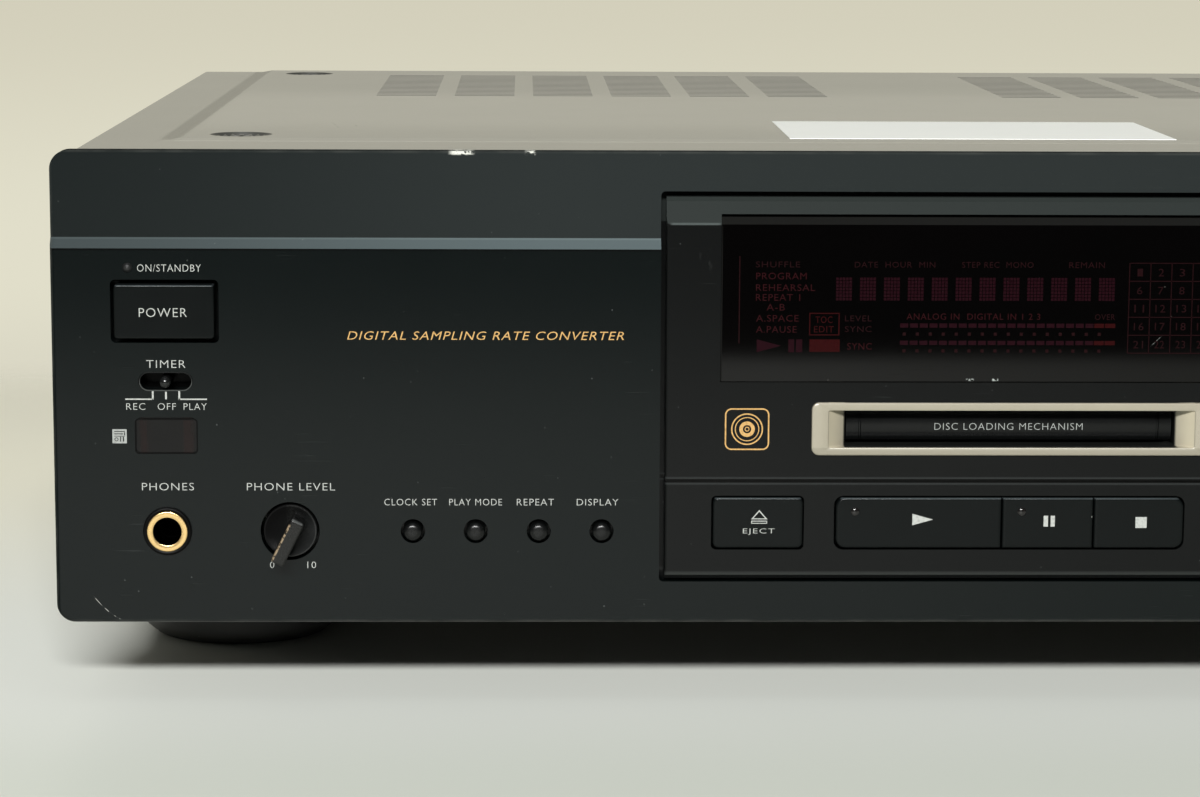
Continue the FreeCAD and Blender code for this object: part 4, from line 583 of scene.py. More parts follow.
def glass_finish():
    """Smoked acrylic: nearly black and glossy, with fine wiping marks and dust."""
    made = Finish("smoked_acrylic", 0.05, specular=0.19)
    smear = made.noise(22, (2.5, 1, 1), 5, 0.6)
    wipe = made.noise(0.35, (30, 1, 1), 2, 0.5, 4).rise(0.68, 0.75) * smear.rise(0.5, 0.7)
    made.paint(made.mix((2, 2, 2), (4, 3, 3), smear))
    made.over((120, 118, 112), made.specks(1.6, 0.01) * 0.15 + wipe * 0.01)
    # The sloped top is frosted, and two chips sit on the lower edge with one scratch above them.
    made.over((21, 21, 20), made.z.rise(109, 109.15))
    chips = made.x.away(-9.7).rise(1, 0.6) | made.x.away(-4).rise(0.8, 0.5)
    chips *= made.z.away(74.2).rise(0.35, 0.1)
    line = (made.z - 83.1 - (made.x - 32.1) * 0.95).away(0).rise(0.16, 0.05)
    line *= made.x.away(32.1).rise(1.5, 0.6)
    made.over((150, 156, 152), (chips + line * 0.3) * made.noise(0.7, detail=4, shift=3).rise(0.42, 0.55))
    made.polish((smear * 0.04 + wipe * 0.06 + 0.03).math("MINIMUM", 0.25))
    return made


def infrared_finish():
    """Dark filter with a faint red glow of its ribs near the two ends."""
    made = Finish("infrared_filter", 0.14, specular=0.15)
    cloud = made.noise(4)
    aside = made.x.away(POWER_X)
    made.paint(made.mix((9, 9, 9), (13, 12, 12), cloud))
    ends = aside.rise(3.2, 4.4) * aside.rise(6.6, 5.4)
    made.over((21, 12, 11), ends * made.noise(1.6, (1, 1, 9), shift=2).rise(0.3, 0.5) * 0.9)
    made.polish(cloud.span(0.1, 0.2))
    return made


def metal(name, dark, light, roughness, grain=0.4, stretch=(1, 1, 1), depth=0.004, cloud=20):
    """Bare metal: cloudy colour, fine grain in relief, and varied roughness."""
    made = Finish(name, roughness, metallic=1)
    fine = made.noise(grain, stretch, 4, 0.6)
    broad = made.noise(cloud, detail=4, shift=2)
    made.paint(made.mix(dark, light, fine * 0.4 + broad * 0.6))
    made.polish((fine * 0.5 + broad * 0.5).span(roughness - 0.06, roughness + 0.1))
    made.relief(fine, depth)
    return made


def ink(name, dark, light, roughness=0.5, specular=0.2):
    """Print whose colour and roughness follow one fine noise."""
    made = Finish(name, roughness, specular=specular)
    worn = made.noise(0.6, detail=4, roughness=0.7)
    made.paint(made.mix(dark, light, worn.rise(0.3, 0.55)))
    made.polish(worn.span(roughness - 0.05, roughness + 0.1))
    return made


FASCIA, CENTRE, COVER = fascia_finish(), centre_finish(), cover_finish()
CHAMPAGNE, ACRYLIC = champagne_finish(), glass_finish()
# Numbers after the two colours: roughness, grain, depth of its relief, cloud, specular, dust.
KEYS = satin("key_plastic", (8, 10, 10), (13, 16, 16), 0.21, 0.18, 0.003, 12, 0.11, 0.006)
# A painted highlight along each cap's upper edge, stronger in some places than others.
painted_edge_highlight = KEYS.z.away(47.1).rise(0.24, 0.08) | KEYS.z.away(95.18).rise(0.2, 0.06)
KEYS.over((58, 64, 66), painted_edge_highlight * KEYS.noise(5, shift=3).span(0.5, 1))
KNOBS = satin("knob_plastic", (7, 8, 8), (13, 14, 14), 0.26, 0.2, 0.003, 8, 0.28, 0.006)
DOOR = satin("door_plastic", (6, 7, 7), (11, 12, 12), 0.22, 0.3, 0.001, 10, 0.22, 0.01)
RUBBER = satin("foot_rubber", (68, 68, 67), (80, 80, 78), 0.5, 0.5, 0.02, 10, dust=0.04)
BLACK = satin("black_moulding", (9, 10, 10), (16, 17, 17), 0.4, 0.25, 0.004, 9, 0.35)
PIT = satin("gap_black", (2, 2, 2), (5, 5, 5), 0.4, 0.3, 0.001, 4, 0.08)
DISH = satin("dish_paint", (52, 52, 49), (66, 66, 62), 0.4, 0.4, 0.01, 6)
GOLD, GOLD_RIM = (metal(name, (216, 182, 124), (228, 196, 138), 0.24, depth=0.0001, cloud=5)
                  for name in ("gold_plate", "gold_rim"))
# Inside the bore the rim is painted nearly black: painted shade.
deep = GOLD_RIM.y.rise(-159.2, -158.8)
GOLD_RIM.paint(GOLD_RIM.mix((222, 189, 131), (14, 11, 7), deep + GOLD_RIM.noise(2).span(-0.02, 0.02)))
BRIGHT = metal("screw_plate", (150, 150, 144), (186, 186, 180), 0.28, cloud=4)
LAMP = satin("lamp_lens", (16, 15, 15), (24, 22, 21), 0.1, 0.4, 0.001, 1.5)
WHITE_INK = ink("white_ink", (140, 142, 139), (168, 170, 166))
GOLD_INK = ink("gold_ink", (158, 122, 72), (188, 150, 94))
GREY_INK = ink("grey_ink", (122, 125, 123), (150, 153, 150))
SEGMENTS = ink("unlit_segments", (20, 4, 9), (27, 6, 12), 0.2, 0.06)
LEGEND = ink("unlit_legend", (28, 7, 10), (36, 10, 13), 0.2, 0.06)
WARM_SEGMENTS = ink("unlit_warm_segments", (30, 5, 6), (38, 7, 8), 0.2, 0.05)
FAINT_SEGMENTS = ink("unlit_faint_segments", (20, 6, 8), (26, 9, 11), 0.2, 0.06)
IR_SMOKE = infrared_finish()
RED = satin("jack_red", (140, 26, 24), (168, 36, 32), 0.35, cloud=5)
PALE = satin("jack_white", (206, 205, 198), (224, 223, 217), 0.35, cloud=5)
ORANGE = satin("jack_orange", (196, 96, 28), (214, 112, 38), 0.35, cloud=5)

DRESS = {
    FASCIA: "fascia",
    CENTRE: "centre_panel",
    COVER: "top_cover",
    CHAMPAGNE: "slot_bezel",
    ACRYLIC: "display_window",
    IR_SMOKE: "ir_window",
    KEYS: "power_button eject_button record_button play_button pause_button stop_button",
    KNOBS: "phones_level_knob jog_dial record_level_knob input_knob timer_lever clock_button mode_button "
           "repeat_button display_button menu_button scroll_button edit_button enter_button",
    DOOR: "slot_door",
    RUBBER: "feet",
    BLACK: "phone_jack key_switches rotary_parts optical_sockets mains_inlet turntable optical_sled "
           "loading_gear sled_gear",
    GOLD: "jack_ring phono_jacks",
    satin("standby_lens", (21, 22, 22), (27, 28, 28), 0.34, 0.4, 0.001, 1.5, 0.3): "standby_lamp",
    satin("label_paper", (240, 242, 238), (248, 250, 246), 0.5, 0.25, 0.006, 16, 0.9): "paper_label",
    satin("pan_coating", (24, 24, 23), (34, 34, 32), 0.45, 0.6, 0.006, 40, 0.2): "chassis",
    metal("zinc_plate", (168, 168, 158), (190, 190, 182), 0.34, 0.7, (1, 6, 1), cloud=30):
        "front_frame mech_frame disc_holder loading_slider head_arm mech_motors transformer",
    BRIGHT: "cover_screws foot_screws rear_screws guide_rods",
    satin("rear_paint", (28, 29, 28), (37, 38, 37), 0.5, 0.4, 0.012, dust=0.03): "rear_panel",
    satin("solder_mask", (36, 66, 38), (52, 88, 48), 0.35, 0.6, 0.02, 9):
        "control_boards main_board power_board",
    satin("tube_glass", (12, 12, 13), (20, 20, 22), 0.1, 0.5, 0.001): "display_tube",
    satin("capacitor_sleeve", (16, 18, 30), (26, 28, 44), 0.3, 0.5, 0.003): "filter_capacitors",
    metal("bare_aluminium", (176, 177, 176), (198, 199, 198), 0.36, 0.3, (1, 1, 12)): "heat_sink",
    satin("ribbon_cable", (196, 196, 190), (222, 222, 216), 0.5, 1.2, 0.05, stretch=(1, 20, 20)):
        "flat_cables",
}
for finish, names in DRESS.items():
    for name in names.split():
        for slot in frame["nodes"][name].material_slots:
            slot.material = finish.material


# ---- keys ----

def square_key(key, x, z, radius, edge):
    """Cap over the node's own front, with its flange and its stem behind the panel."""
    node = key + "_button"
    low, high = (np.array(corner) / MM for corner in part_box(node))
    middle = (low + high) / 2
    piece(key + "_cap", [key_cap((*x, *z), radius, low[1], PANEL_BACK + 0.3, edge),
                         block(low[0], high[0], PANEL_BACK + 0.15, PANEL_BACK + 1.35, low[2], high[2]),
                         rod(1.6, high[1] - PANEL_BACK - 1.3, (middle[0], high[1], middle[2]), "front", 24)],
          KEYS, body=node, replaces=(node,))


square_key("power", (POWER_X - 11.1, POWER_X + 11.1), (POWER_Z - 6, POWER_Z + 6.05), 0.8, 0.38)
for key, left, right, radii in (
        # left, right, corner radii from the lower right one round
        ("play", -39.3, -1.9, (0.3, 0.3, 2.2, 2.2)),
        ("pause", -1.6, 18.9, 0.3),
        ("stop", 19.2, 39.4, (2.2, 2.2, 0.3, 0.3)),
        ("eject", -67.1, -46.8, 1.3),
        ("record", 46.8, 67.1, 1.3)):
    square_key(key, (left, right), (KEY_LOW + 0.5, KEY_HIGH - 0.3), radii, 0.5)

for key in ("display", "repeat", "mode", "clock", "menu", "scroll", "edit", "enter"):
    # A round cap over its own node: radius 2.1 cos(a)^0.55 at a height of 1.1 sin(a) over its side.
    x = sum(corner[0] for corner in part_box(key + "_button")) / 2 / MM
    dome = [(2.1 * math.cos(a) ** 0.55, 7 + 1.1 * math.sin(a)) for a in np.linspace(0, 1.54, 12)]
    side = [(0, -1.9), (1.6, -1.9), (1.6, 0), (3.35, 0), (3.35, 1.2), (2.15, 1.2), (2.15, 5.3)]
    piece(key + "_cap", [turned(side + dome + [(0, 8.1)], (x, PANEL_BACK + 0.5, CONTROL_Z), "front", 40)],
          KNOBS, body=key + "_button", replaces=(key + "_button",))


# ---- lever, knobs and jack ----

PEG = satin("lever_plastic", (12, 13, 13), (20, 21, 21), 0.2, 0.2, 0.002, 4, 0.45)
# Behind the face, inside the slot, the lever is painted black and made dull: painted shade.
behind = PEG.y.rise(-158, -156)
PEG.over((1, 1, 1), behind)
PEG.shine(behind.span(0.45, 0.05))
tip = [(1.3 * math.cos(a), 7.2 + 1.15 * math.sin(a)) for a in np.linspace(0, 1.5, 9)]
piece("timer_peg", [
    turned([(0, 0), (1.3, 0)] + tip + [(0, 8.35)], (POWER_X, PANEL_BACK + 0.2, LEVER_Z), "front", 32),
    block(POWER_X - 6.8, POWER_X + 6.8, PANEL_BACK + 0.15, PANEL_BACK + 1.15,
          LEVER_Z - 3.25, LEVER_Z + 3.25)],
    PEG, body="timer_lever", replaces=("timer_lever",))

piece("filter_joint", [stacked((-196.78, -182.73, 57.08, 65.15), 0.9, (
    (0, FACE + 0.05), (0, FACE - 0.02), (0.3, FACE - 0.02), (0.3, FACE + 0.05)), True)], PIT)

RIM = Finish("slot_rim", 0.3, specular=0.2)
# Pale along the lower edge and dark above: a painted highlight where the slot's chamfer faces up.
RIM.paint(RIM.mix((58, 60, 59), (12, 14, 14), (RIM.z + RIM.noise(3) * 0.3).rise(72.9, 74.6)))
RIM.polish(RIM.noise(1).span(0.25, 0.35))
piece("timer_rim", [stacked((POWER_X - 5.95, POWER_X + 5.95, LEVER_Z - 2.15, LEVER_Z + 2.15), 2.15, (
    (0, FACE + 0.05), (0, FACE - 0.015), (0.2, FACE - 0.015), (0.25, FACE + 0.2)), True, 12)], RIM)

LEVEL_X = -162.3
FIN_LEAN = math.radians(63.5)
FIN_X, FIN_Z = LEVEL_X + 0.35, CONTROL_Z - 0.3
COS, SIN = math.cos(FIN_LEAN), math.sin(FIN_LEAN)


def fin(head, tail, half, front, back):
    """Bar across the level knob with a small round along its edges, turned by its lean from level."""
    turn = np.array([[COS, SIN], [-SIN, COS]])
    rings = []
    for inset, behind in [(0, back - front)] + cushion_edge(0.35, 5).tolist() + [(0.8, 0)]:
        loop = outline(-tail + inset, head - inset, -half + inset, half - inset, max(0.6 - inset, 0.05), 5)
        rings.append(at_depth(loop @ turn + (FIN_X, FIN_Z), front + behind))
    return loft(rings)


def grip_finish():
    """Knob plastic whose bar is worn brown along one long edge and has a painted highlight at its head."""
    made = satin("grip_plastic", (9, 10, 10), (16, 17, 17), 0.26, 0.2, 0.003, 8, 0.28)
    x, z = made.x - FIN_X, made.z - FIN_Z
    along = x * COS + z * SIN
    beside = z * COS - x * SIN
    proud = made.y.rise(-164.5, -165.3)
    # The bowl's upper left lies in the bar's shade and its lower right is painted paler: painted shade and
    # painted light.
    aside = made.x - LEVEL_X
    shade = (made.z - CONTROL_Z) - aside
    made.over((12, 12, 12), shade.rise(-1.5, 3.5))
    made.over((30, 31, 31), shade.rise(-1.5, -6))
    made.shine((aside.rise(0.5, -1.5) * made.y.rise(-165.3, -164.5)).span(0.28, 0.06))
    made.over((17, 17, 16), proud)
    worn = beside.rise(1, 1.2) * along.rise(3.2, 2.6) * proud
    made.over((132, 116, 94), worn * made.noise(0.7, detail=5, shift=4).rise(0.38, 0.56))
    # The bar's head is painted pale: a painted highlight.
    made.over((84, 86, 85), along.rise(3.95, 4.12) * proud)
    return made


piece("phones_level_grip", [
    turned([(0, 0), (3, 0), (3, 5.5), (6, 5.5), (6, 11.5), (5.9, 11.66), (5.7, 11.7), (5.5, 11.62),
            (4.6, 11.3), (3.2, 10.9), (0, 10.6)], (LEVEL_X, -146.5, CONTROL_Z), "front", 72),
    fin(4.2, 6.45, 1.55, FACE - 8, FACE - 0.5), fin(4, 5.2, 1.4, FACE - 1.2, FACE + 2)],
    grip_finish(), body="phones_level_knob", replaces=("phones_level_knob",))


def round_knob(name, body, x, z, radius, proud, grip, flutes):
    """Knob with a fluted rim, a dished front, and a shaft: its rings follow the knob's profile."""
    base = PANEL_BACK + 6
    skirt = base - (FACE - 0.4)
    tip = base - (FACE - proud)
    rim = radius - grip
    side = [(0, 0), (3, 0), (3, skirt), (radius - 0.4, skirt), (radius, skirt + 0.4), (radius, skirt + 1.2),
            (rim, skirt + 2), (rim, skirt + 2.2, 0.35), (rim, tip - 1.3, 0.35)]
    dish = [(radius * 0.6, tip), (radius * 0.56, tip - 0.25), (radius * 0.5, tip - 0.45), (0, tip - 0.5)]
    profile = side + round_tip(rim, tip, 0.9) + dish
    piece(name, [turned(profile, (x, base, z), "front", 144, flutes=flutes)], KNOBS, body=body,
          replaces=(body,))


JOG_X, JOG_Z = 160, 80
RECORD_X, INPUT_X = 189.8, 160
# Radius, and how far the front stands out from the fascia.
JOG, RECORD, INPUT = (17, 14), (10, 11), (7.5, 10)
round_knob("jog_wheel", "jog_dial", JOG_X, JOG_Z, *JOG, 0.8, 72)
round_knob("record_level_grip", "record_level_knob", RECORD_X, CONTROL_Z, *RECORD, 0.6, 48)
round_knob("input_grip", "input_knob", INPUT_X, CONTROL_Z, *INPUT, 0.6, 36)

JACK_X = -189.8
jack_rim = [(3.2, 0), (4.6, 0), (4.6, 9.65), (4.56, 9.79), (4.46, 9.88), (4.35, 9.9), (3.32, 9.9),
            (3.24, 9.87), (3.2, 9.78)]
jack_collar = [(4.65, 0), (5.5, 0), (5.5, 0.35), (5.38, 0.6), (5.15, 0.72), (4.9, 0.72), (4.65, 0.6)]
piece("jack_rim", [turned(jack_rim, (JACK_X, FACE + 9, CONTROL_Z), "front", 96, True)], GOLD_RIM,
      replaces=("jack_ring",))
piece("jack_collar", [turned(jack_collar, (JACK_X, FACE, CONTROL_Z), "front", 96, True)], PIT)
piece("jack_springs", [block(JACK_X - 0.8, JACK_X + 0.8, FACE + 12, FACE + 20,
                             CONTROL_Z + 1.9, CONTROL_Z + 3.2)], BRIGHT)


# ---- bezel and door of the disc slot ----

SLOT_LOW, SLOT_HIGH = 58.8, 67.2
THROAT, CHEEK = 37.4, 41.3
BEZEL = -159.5
# Half width, how far past the slot's height, corner radius, depth.
SURROUND = [(42, 1, 0.1, FACE + 9), (42, 1, 0.1, FACE), (45.1, 1.8, 1.7, FACE),
            (45.1, 1.8, 1.7, BEZEL + 0.32), (45, 1.7, 1.62, BEZEL + 0.1), (44.78, 1.5, 1.45, BEZEL),
            (41.6, 0.25, 0.6, BEZEL), (CHEEK + 0.12, 0.08, 0.5, BEZEL + 0.08), (CHEEK, 0, 0.45, BEZEL + 0.3),
            (THROAT, 0, 0.05, BEZEL + 3.9), (THROAT, 0, 0.05, FACE + 9)]
piece("slot_surround", [loft([at_depth(outline(-half, half, SLOT_LOW - extra, SLOT_HIGH + extra, radius), y)
                              for half, extra, radius, y in SURROUND], True)],
      CHAMPAGNE, replaces=("slot_bezel",), sharp=25)


def slot_flap():
    """Door: height z and depth y of its crown run along x, with a shallow groove near each end."""
    low, high = 59.7, 66.9
    back = FACE + 6
    t = np.linspace(-1, 1, 15)
    zs = (low + high) / 2 + t * (high - low) / 2
    crown = 0.85 + 0.85 * (1 - t * t) ** 0.6
    ends = np.array([(33.5, 0), (33.65, 0.3), (33.95, 0.3), (34.1, 0), (36.9, 0), (37.1, 0.25)])
    xs, dip = np.vstack([ends[::-1] * (-1, 1), [(0, 0)], ends]).T
    front = np.stack(np.broadcast_arrays(xs[:, None], back - crown[None] + dip[:, None], zs[None]), axis=-1)
    rear = np.stack(np.broadcast_arrays(xs[:, None], np.array([[back, back]]), zs[[-1, 0]][None]), axis=-1)
    return loft(np.concatenate([front, rear], axis=1))


piece("disc_flap", [slot_flap(), rod(0.8, 76.6, (-38.3, FACE + 6, 66.2), "right", 20)],
      DOOR, body="slot_door", replaces=("slot_door",))


# ---- window ----

WINDOW_HALF, WINDOW_LOW, WINDOW_HIGH = 65.7, 73.6, 110.7


def window_pane():
    """Pane with a flat front, a sloped top and a small bevel round its other edges."""
    bevel = 0.22
    back = PANEL_BACK + 0.5
    shape = [(WINDOW_FRONT + bevel, WINDOW_LOW), (WINDOW_FRONT, WINDOW_LOW + bevel), (WINDOW_FRONT, 109),
             (WINDOW_FRONT + 0.68, WINDOW_HIGH), (back, WINDOW_HIGH), (back, WINDOW_LOW)]
    ends = ((-WINDOW_HALF, bevel), (-WINDOW_HALF + bevel, 0), (WINDOW_HALF - bevel, 0), (WINDOW_HALF, bevel))
    return loft([[(x, y + inset if y < PANEL_BACK else y, z) for y, z in shape] for x, inset in ends])


piece("display_pane", [window_pane(), block(-WINDOW_HALF - 1.8, WINDOW_HALF + 1.8, PANEL_BACK,
                                            PANEL_BACK + 1.5, WINDOW_LOW - 1.8, WINDOW_HIGH + 2.3)],
      ACRYLIC, replaces=("display_window",), sharp=8)


def unlit_display():
    """The display's unlit parts as they show through the smoked pane, just proud of its front."""
    front, back = WINDOW_FRONT - 0.02, WINDOW_FRONT + 0.05

    def small(rows, height, thick=0.04):
        """Words of one height; each has its left, right and foot."""
        return [lettering(text, (left, right), (foot, foot + height), back - 0.03, thick=thick)
                for text, left, right, foot in rows]

    x, col, row = np.meshgrid(-40.1 + np.arange(12) * 5.355, np.arange(5) * 0.735, np.arange(7) * 0.755,
                              indexing="ij")
    left = (x + col).ravel()
    low = (92.1 + row).ravel()
    dots = tiles(np.stack([left, left + 0.6, low, low + 0.62], axis=1), front, back)
    bars = [(x, x + 1.8, z, z + 0.95) for z in (86, 82.1) for x in -25.6 + np.arange(21) * 2.19]
    signs = [prism([(-57.7, 80.4), (-52.3, 81.85), (-57.7, 83.3)], front, back),
             tiles([(-50.6, -49.3, 80.4, 83.3), (-48.9, -47.5, 80.4, 83.3)], front, back)]
    piece("display_segments", [dots, tiles(bars, front, back)] + signs, SEGMENTS)
    piece("display_legend", small([
        ("PROGRAM", -58, -46.7, 96.8), ("REHEARSAL", -58, -44.8, 94.2), ("REPEAT 1", -58, -48.1, 92),
        ("A-B", -55.6, -51.5, 89.8), ("A.SPACE", -57.9, -48.4, 87.3), ("A.PAUSE", -57.9, -48.8, 84.8),
        ("SYNC", -37.4, -31.9, 81)], 1.5) + small([("ANALOG IN  DIGITAL IN 1 2 3", -24.2, 5.8, 87.8)], 1.4),
        LEGEND)

    warm = [(-45.9, -39.1, 80.5, 83.3)]
    warm += [(x, x2, z, z + 0.95) for z in (86, 82.1) for x, x2 in ((18, 20.2), (20.4, 22.7))]
    warm += [(-46, -39.2, 89.05, 89.3), (-46, -39.2, 84.2, 84.45), (-46, -45.75, 84.45, 89.05),
             (-39.45, -39.2, 84.45, 89.05)]
    piece("display_warm_segments", [tiles(warm, front - 0.01, back)]
          + small([("TOC", -44.6, -40.8, 87)], 1.5, 0.05) + small([("EDIT", -44.9, -40.5, 84.9)], 1.4, 0.05),
          WARM_SEGMENTS)

    # The track calendar: a grid of five by five numbers, with words above and scales beside it.
    grid, foot, wide, tall = 25.6, 80.3, 4.74, 4.06
    lines = [(grid + wide * k - 0.1, grid + wide * k + 0.1, foot, 100.6) for k in range(6)]
    lines += [(25.7, 49.2, foot + tall * k - 0.1, foot + tall * k + 0.1) for k in range(6)]
    lines.append((-61.8, -61.55, 82.4, 102))
    faint = small([("SHUFFLE", -58.1, -48.2, 99.5), ("LEVEL", -38, -32, 87.4), ("SYNC", -38, -32, 85),
                   ("DATE  HOUR  MIN", -36, -18, 99.5), ("STEP REC  MONO", -12, 4, 99.5),
                   ("REMAIN", 12, 20, 99.5), ("OVER", 18.1, 22.6, 87.8)], 1.3)
    for track in range(25):
        middle = grid + wide * (track % 5) + 2.37
        z = 96.5 - tall * (track // 5)
        half = 0.6 if track < 9 else 1.1
        faint.append(lettering(str(track + 1), (middle - half, middle + half), (z + 1.15, z + 2.85),
                               back - 0.03, thick=0.04))
    scale = [(x, x + 0.7, z, z + 0.7) for z in (84.2, 80.4) for x in -25 + np.arange(16) * 2.92]
    piece("display_faint_segments", [tiles(lines, front + 0.005, back), tiles(scale, front, back)] + faint,
          FAINT_SEGMENTS)


unlit_display()


# ---- print on the front ----

def front_print():
    """Words and marks printed on the fascia and the centre panel."""
    words = [((98, 99.9), ("ON/STANDBY", -195.9, -181.5)), ((76.4, 78.4), ("TIMER", -194.2, -185.2)),
             ((66.9, 68.7), ("REC", -198.8, -194.3), ("OFF", -191.8, -187.5), ("PLAY", -186, -180.6)),
             ((48.6, 50.6), ("PHONES", -195.6, -183.7), ("PHONE LEVEL", -172.1, -152.1)),
             ((30.8, 32.6), ("0", -167.1, -165.9), ("10", -158.7, -156.5)),
             ((45.2, 47), ("CLOCK SET", -141.3, -129.2), ("PLAY MODE", -126.7, -114.6),
              ("REPEAT", -111.5, -102.9), ("DISPLAY", -98, -88.4), ("MENU", 89.6, 96.8),
              ("SCROLL", 102.6, 111.8), ("EDIT", 118.4, 124), ("YES", 132.6, 137.8)),
             ((50.6, 52.6), ("INPUT", 155.4, 164.6)), ((52.4, 54.4), ("REC LEVEL", 182.2, 197.4)),
             ((30.4, 32.2), ("0", 177.4, 178.6), ("10", 200.4, 203)),
             ((43.6, 45.2), ("ANALOG", 141.6, 150.4), ("OPTICAL", 169.2, 177.6)),
             ((29.2, 30.8), ("COAXIAL", 155.8, 164.2)), ((101, 103), ("TRACK", 154.6, 165.4)),
             ((101, 102.8), ("ENTER", 176, 184))]
    marks = [(-198.8, -192.5, 69.35, 69.65), (-192.85, -192.45, 69.35, 71.3), (-189.9, -189.5, 69.5, 71.2),
             (-186.9, -180.6, 69.35, 69.65), (-186.95, -186.55, 69.35, 71.3)]
    scale = [spot(0.28, (RECORD_X + 12.6 * math.cos(a), FACE, CONTROL_Z + 12.6 * math.sin(a)), 12)
             for a in np.radians(np.linspace(-240, 60, 11))]
    piece("fascia_print", rows_of(words, FACE) + [inked(marks, FACE)] + scale, WHITE_INK)

    piece("sensor_patch", [inked([(-201.8, -198.6, 59.5, 62.7)], FACE)], GREY_INK)
    waves = [turned([(0.28, 0), (0.45, 0), (0.45, 0.02), (0.28, 0.02)], (-200.9, FACE - 0.03, 60.4), "front",
                    20, True),
             tiles([(-201.4, -199, 62.1, 62.3), (-201.4, -199.4, 61.55, 61.75), (-201.4, -199, 61.05, 61.2),
                    (-200.1, -199.85, 59.9, 61), (-199.5, -199.2, 59.9, 61), (-199.2, -198.95, 61.3, 62)],
                   FACE - 0.05, FACE - 0.02)]
    piece("sensor_marks", waves, BLACK)
    piece("slogan_print", [lettering("DIGITAL SAMPLING RATE CONVERTER", (-149.2, -87.4), (83, 84.9), FACE,
                                     slant=0.24, weight=-0.004)], GOLD_INK)

    # Plain disc sign in the centre panel's lower left: rings in a rounded square.
    left, right, low, high = sign = (-64.6, -54.6, 58.1, 67.6)
    middle = ((left + right) / 2, FACE, (low + high) / 2)
    rim = ((0, FACE + UNDER), (0, FACE - OVER), (0.32, FACE - OVER), (0.32, FACE + UNDER))
    rings = [spot(outer, middle, 48, inner) for inner, outer in
             ((3.3, 3.6), (2.55, 2.75), (0.95, 1.75), (0.35, 0.55))]
    piece("disc_emblem", [stacked(sign, 1.5, rim, True)] + rings, GOLD_INK)


front_print()


# ---- print and lamps on the keys and knobs ----

def key_signs():
    """Signs, words and lamps on the caps, the door's words, and the marks on the turning knobs."""
    cap = FACE - 0.6
    near, far = cap - OVER, cap + UNDER
    cx = -56.65
    outer = np.array([(cx - 1.85, 42.35), (cx + 1.85, 42.35), (cx, 44.5)])
    inner = np.array([(cx - 1.35, 42.57), (cx + 1.35, 42.57), (cx, 44.1)])
    arrow = loft([at_depth(loop, y) for loop, y in
                  ((outer, far), (outer, near), (inner, near), (inner, far))], True)
    bars = inked([(cx - 1.8, cx + 1.8, 41.85, 42.03), (cx - 1.8, cx + 1.8, 41.35, 41.53),
                  (cx - 1.8, cx - 1.6, 41.53, 41.85), (cx + 1.6, cx + 1.8, 41.53, 41.85)], cap)
    for name, shells, body in (
            ("power_print", rows_of([((88, 90.3), ("POWER", -195.5, -184.6))], FACE - 1.4), "power_button"),
            ("play_sign", [prism([(-22.05, 41), (-17.35, 42.3), (-22.05, 43.65)], near, far)], "play_button"),
            ("pause_sign", [inked([(7.7, 8.7, 40.7, 43.2), (9.3, 10.25, 40.7, 43.2)], cap)], "pause_button"),
            ("stop_sign", [inked([(28.55, 31.1, 40.4, 42.9)], cap)], "stop_button"),
            ("eject_sign", [arrow, bars] + rows_of([((38.55, 40.35), ("EJECT", -60.5, -53.1))], cap),
             "eject_button"),
            ("record_sign", [spot(1.35, (57, cap, 43.1), 32)]
             + rows_of([((38.5, 40.1), ("REC", 54.6, 59.4))], cap), "record_button")):
        piece(name, shells, WHITE_INK, body)
    # Small domed lenses: radius 0.95 cos(a) at a height of 0.05 + 0.38 sin(a) over the cap.
    lens = [(0, -0.05), (1, -0.05), (1, 0)]
    lens += [(0.95 * math.cos(a), 0.05 + 0.38 * math.sin(a)) for a in np.linspace(0, 1.5, 7)] + [(0, 0.43)]
    for key, x in (("play", -35), ("pause", 2.7)):
        piece(key + "_lamp", [turned(lens, (x, cap, 44.1), "front", 28)], LAMP,
              key + "_button")
    door_words = [((61.85, 63.7), ("DISC LOADING MECHANISM", -17.05, 16.85))]
    piece("door_print", rows_of(door_words, -154.16, 0.04, -0.016), GREY_INK, "slot_door")
    bowl = [(0, -0.45), (3.2, -0.45), (3.6, -0.25), (3.3, -0.2), (2.4, -0.32), (0, -0.36)]
    piece("jog_dimple", [turned(bowl, (JOG_X + 4.2, FACE - JOG[1] - 0.1, JOG_Z + 3.4), "front", 32)], BLACK,
          body="jog_dial")
    for name, x, (radius, proud) in (("record_level", RECORD_X, RECORD), ("input", INPUT_X, INPUT)):
        line = (x - 0.35, x + 0.35, CONTROL_Z + radius * 0.64, CONTROL_Z + radius * 0.9)
        piece(name + "_pointer", [tiles([line], FACE - proud - 0.04, FACE - proud + 0.1)], WHITE_INK,
              name + "_knob")


key_signs()


# ---- screws, feet and the back ----

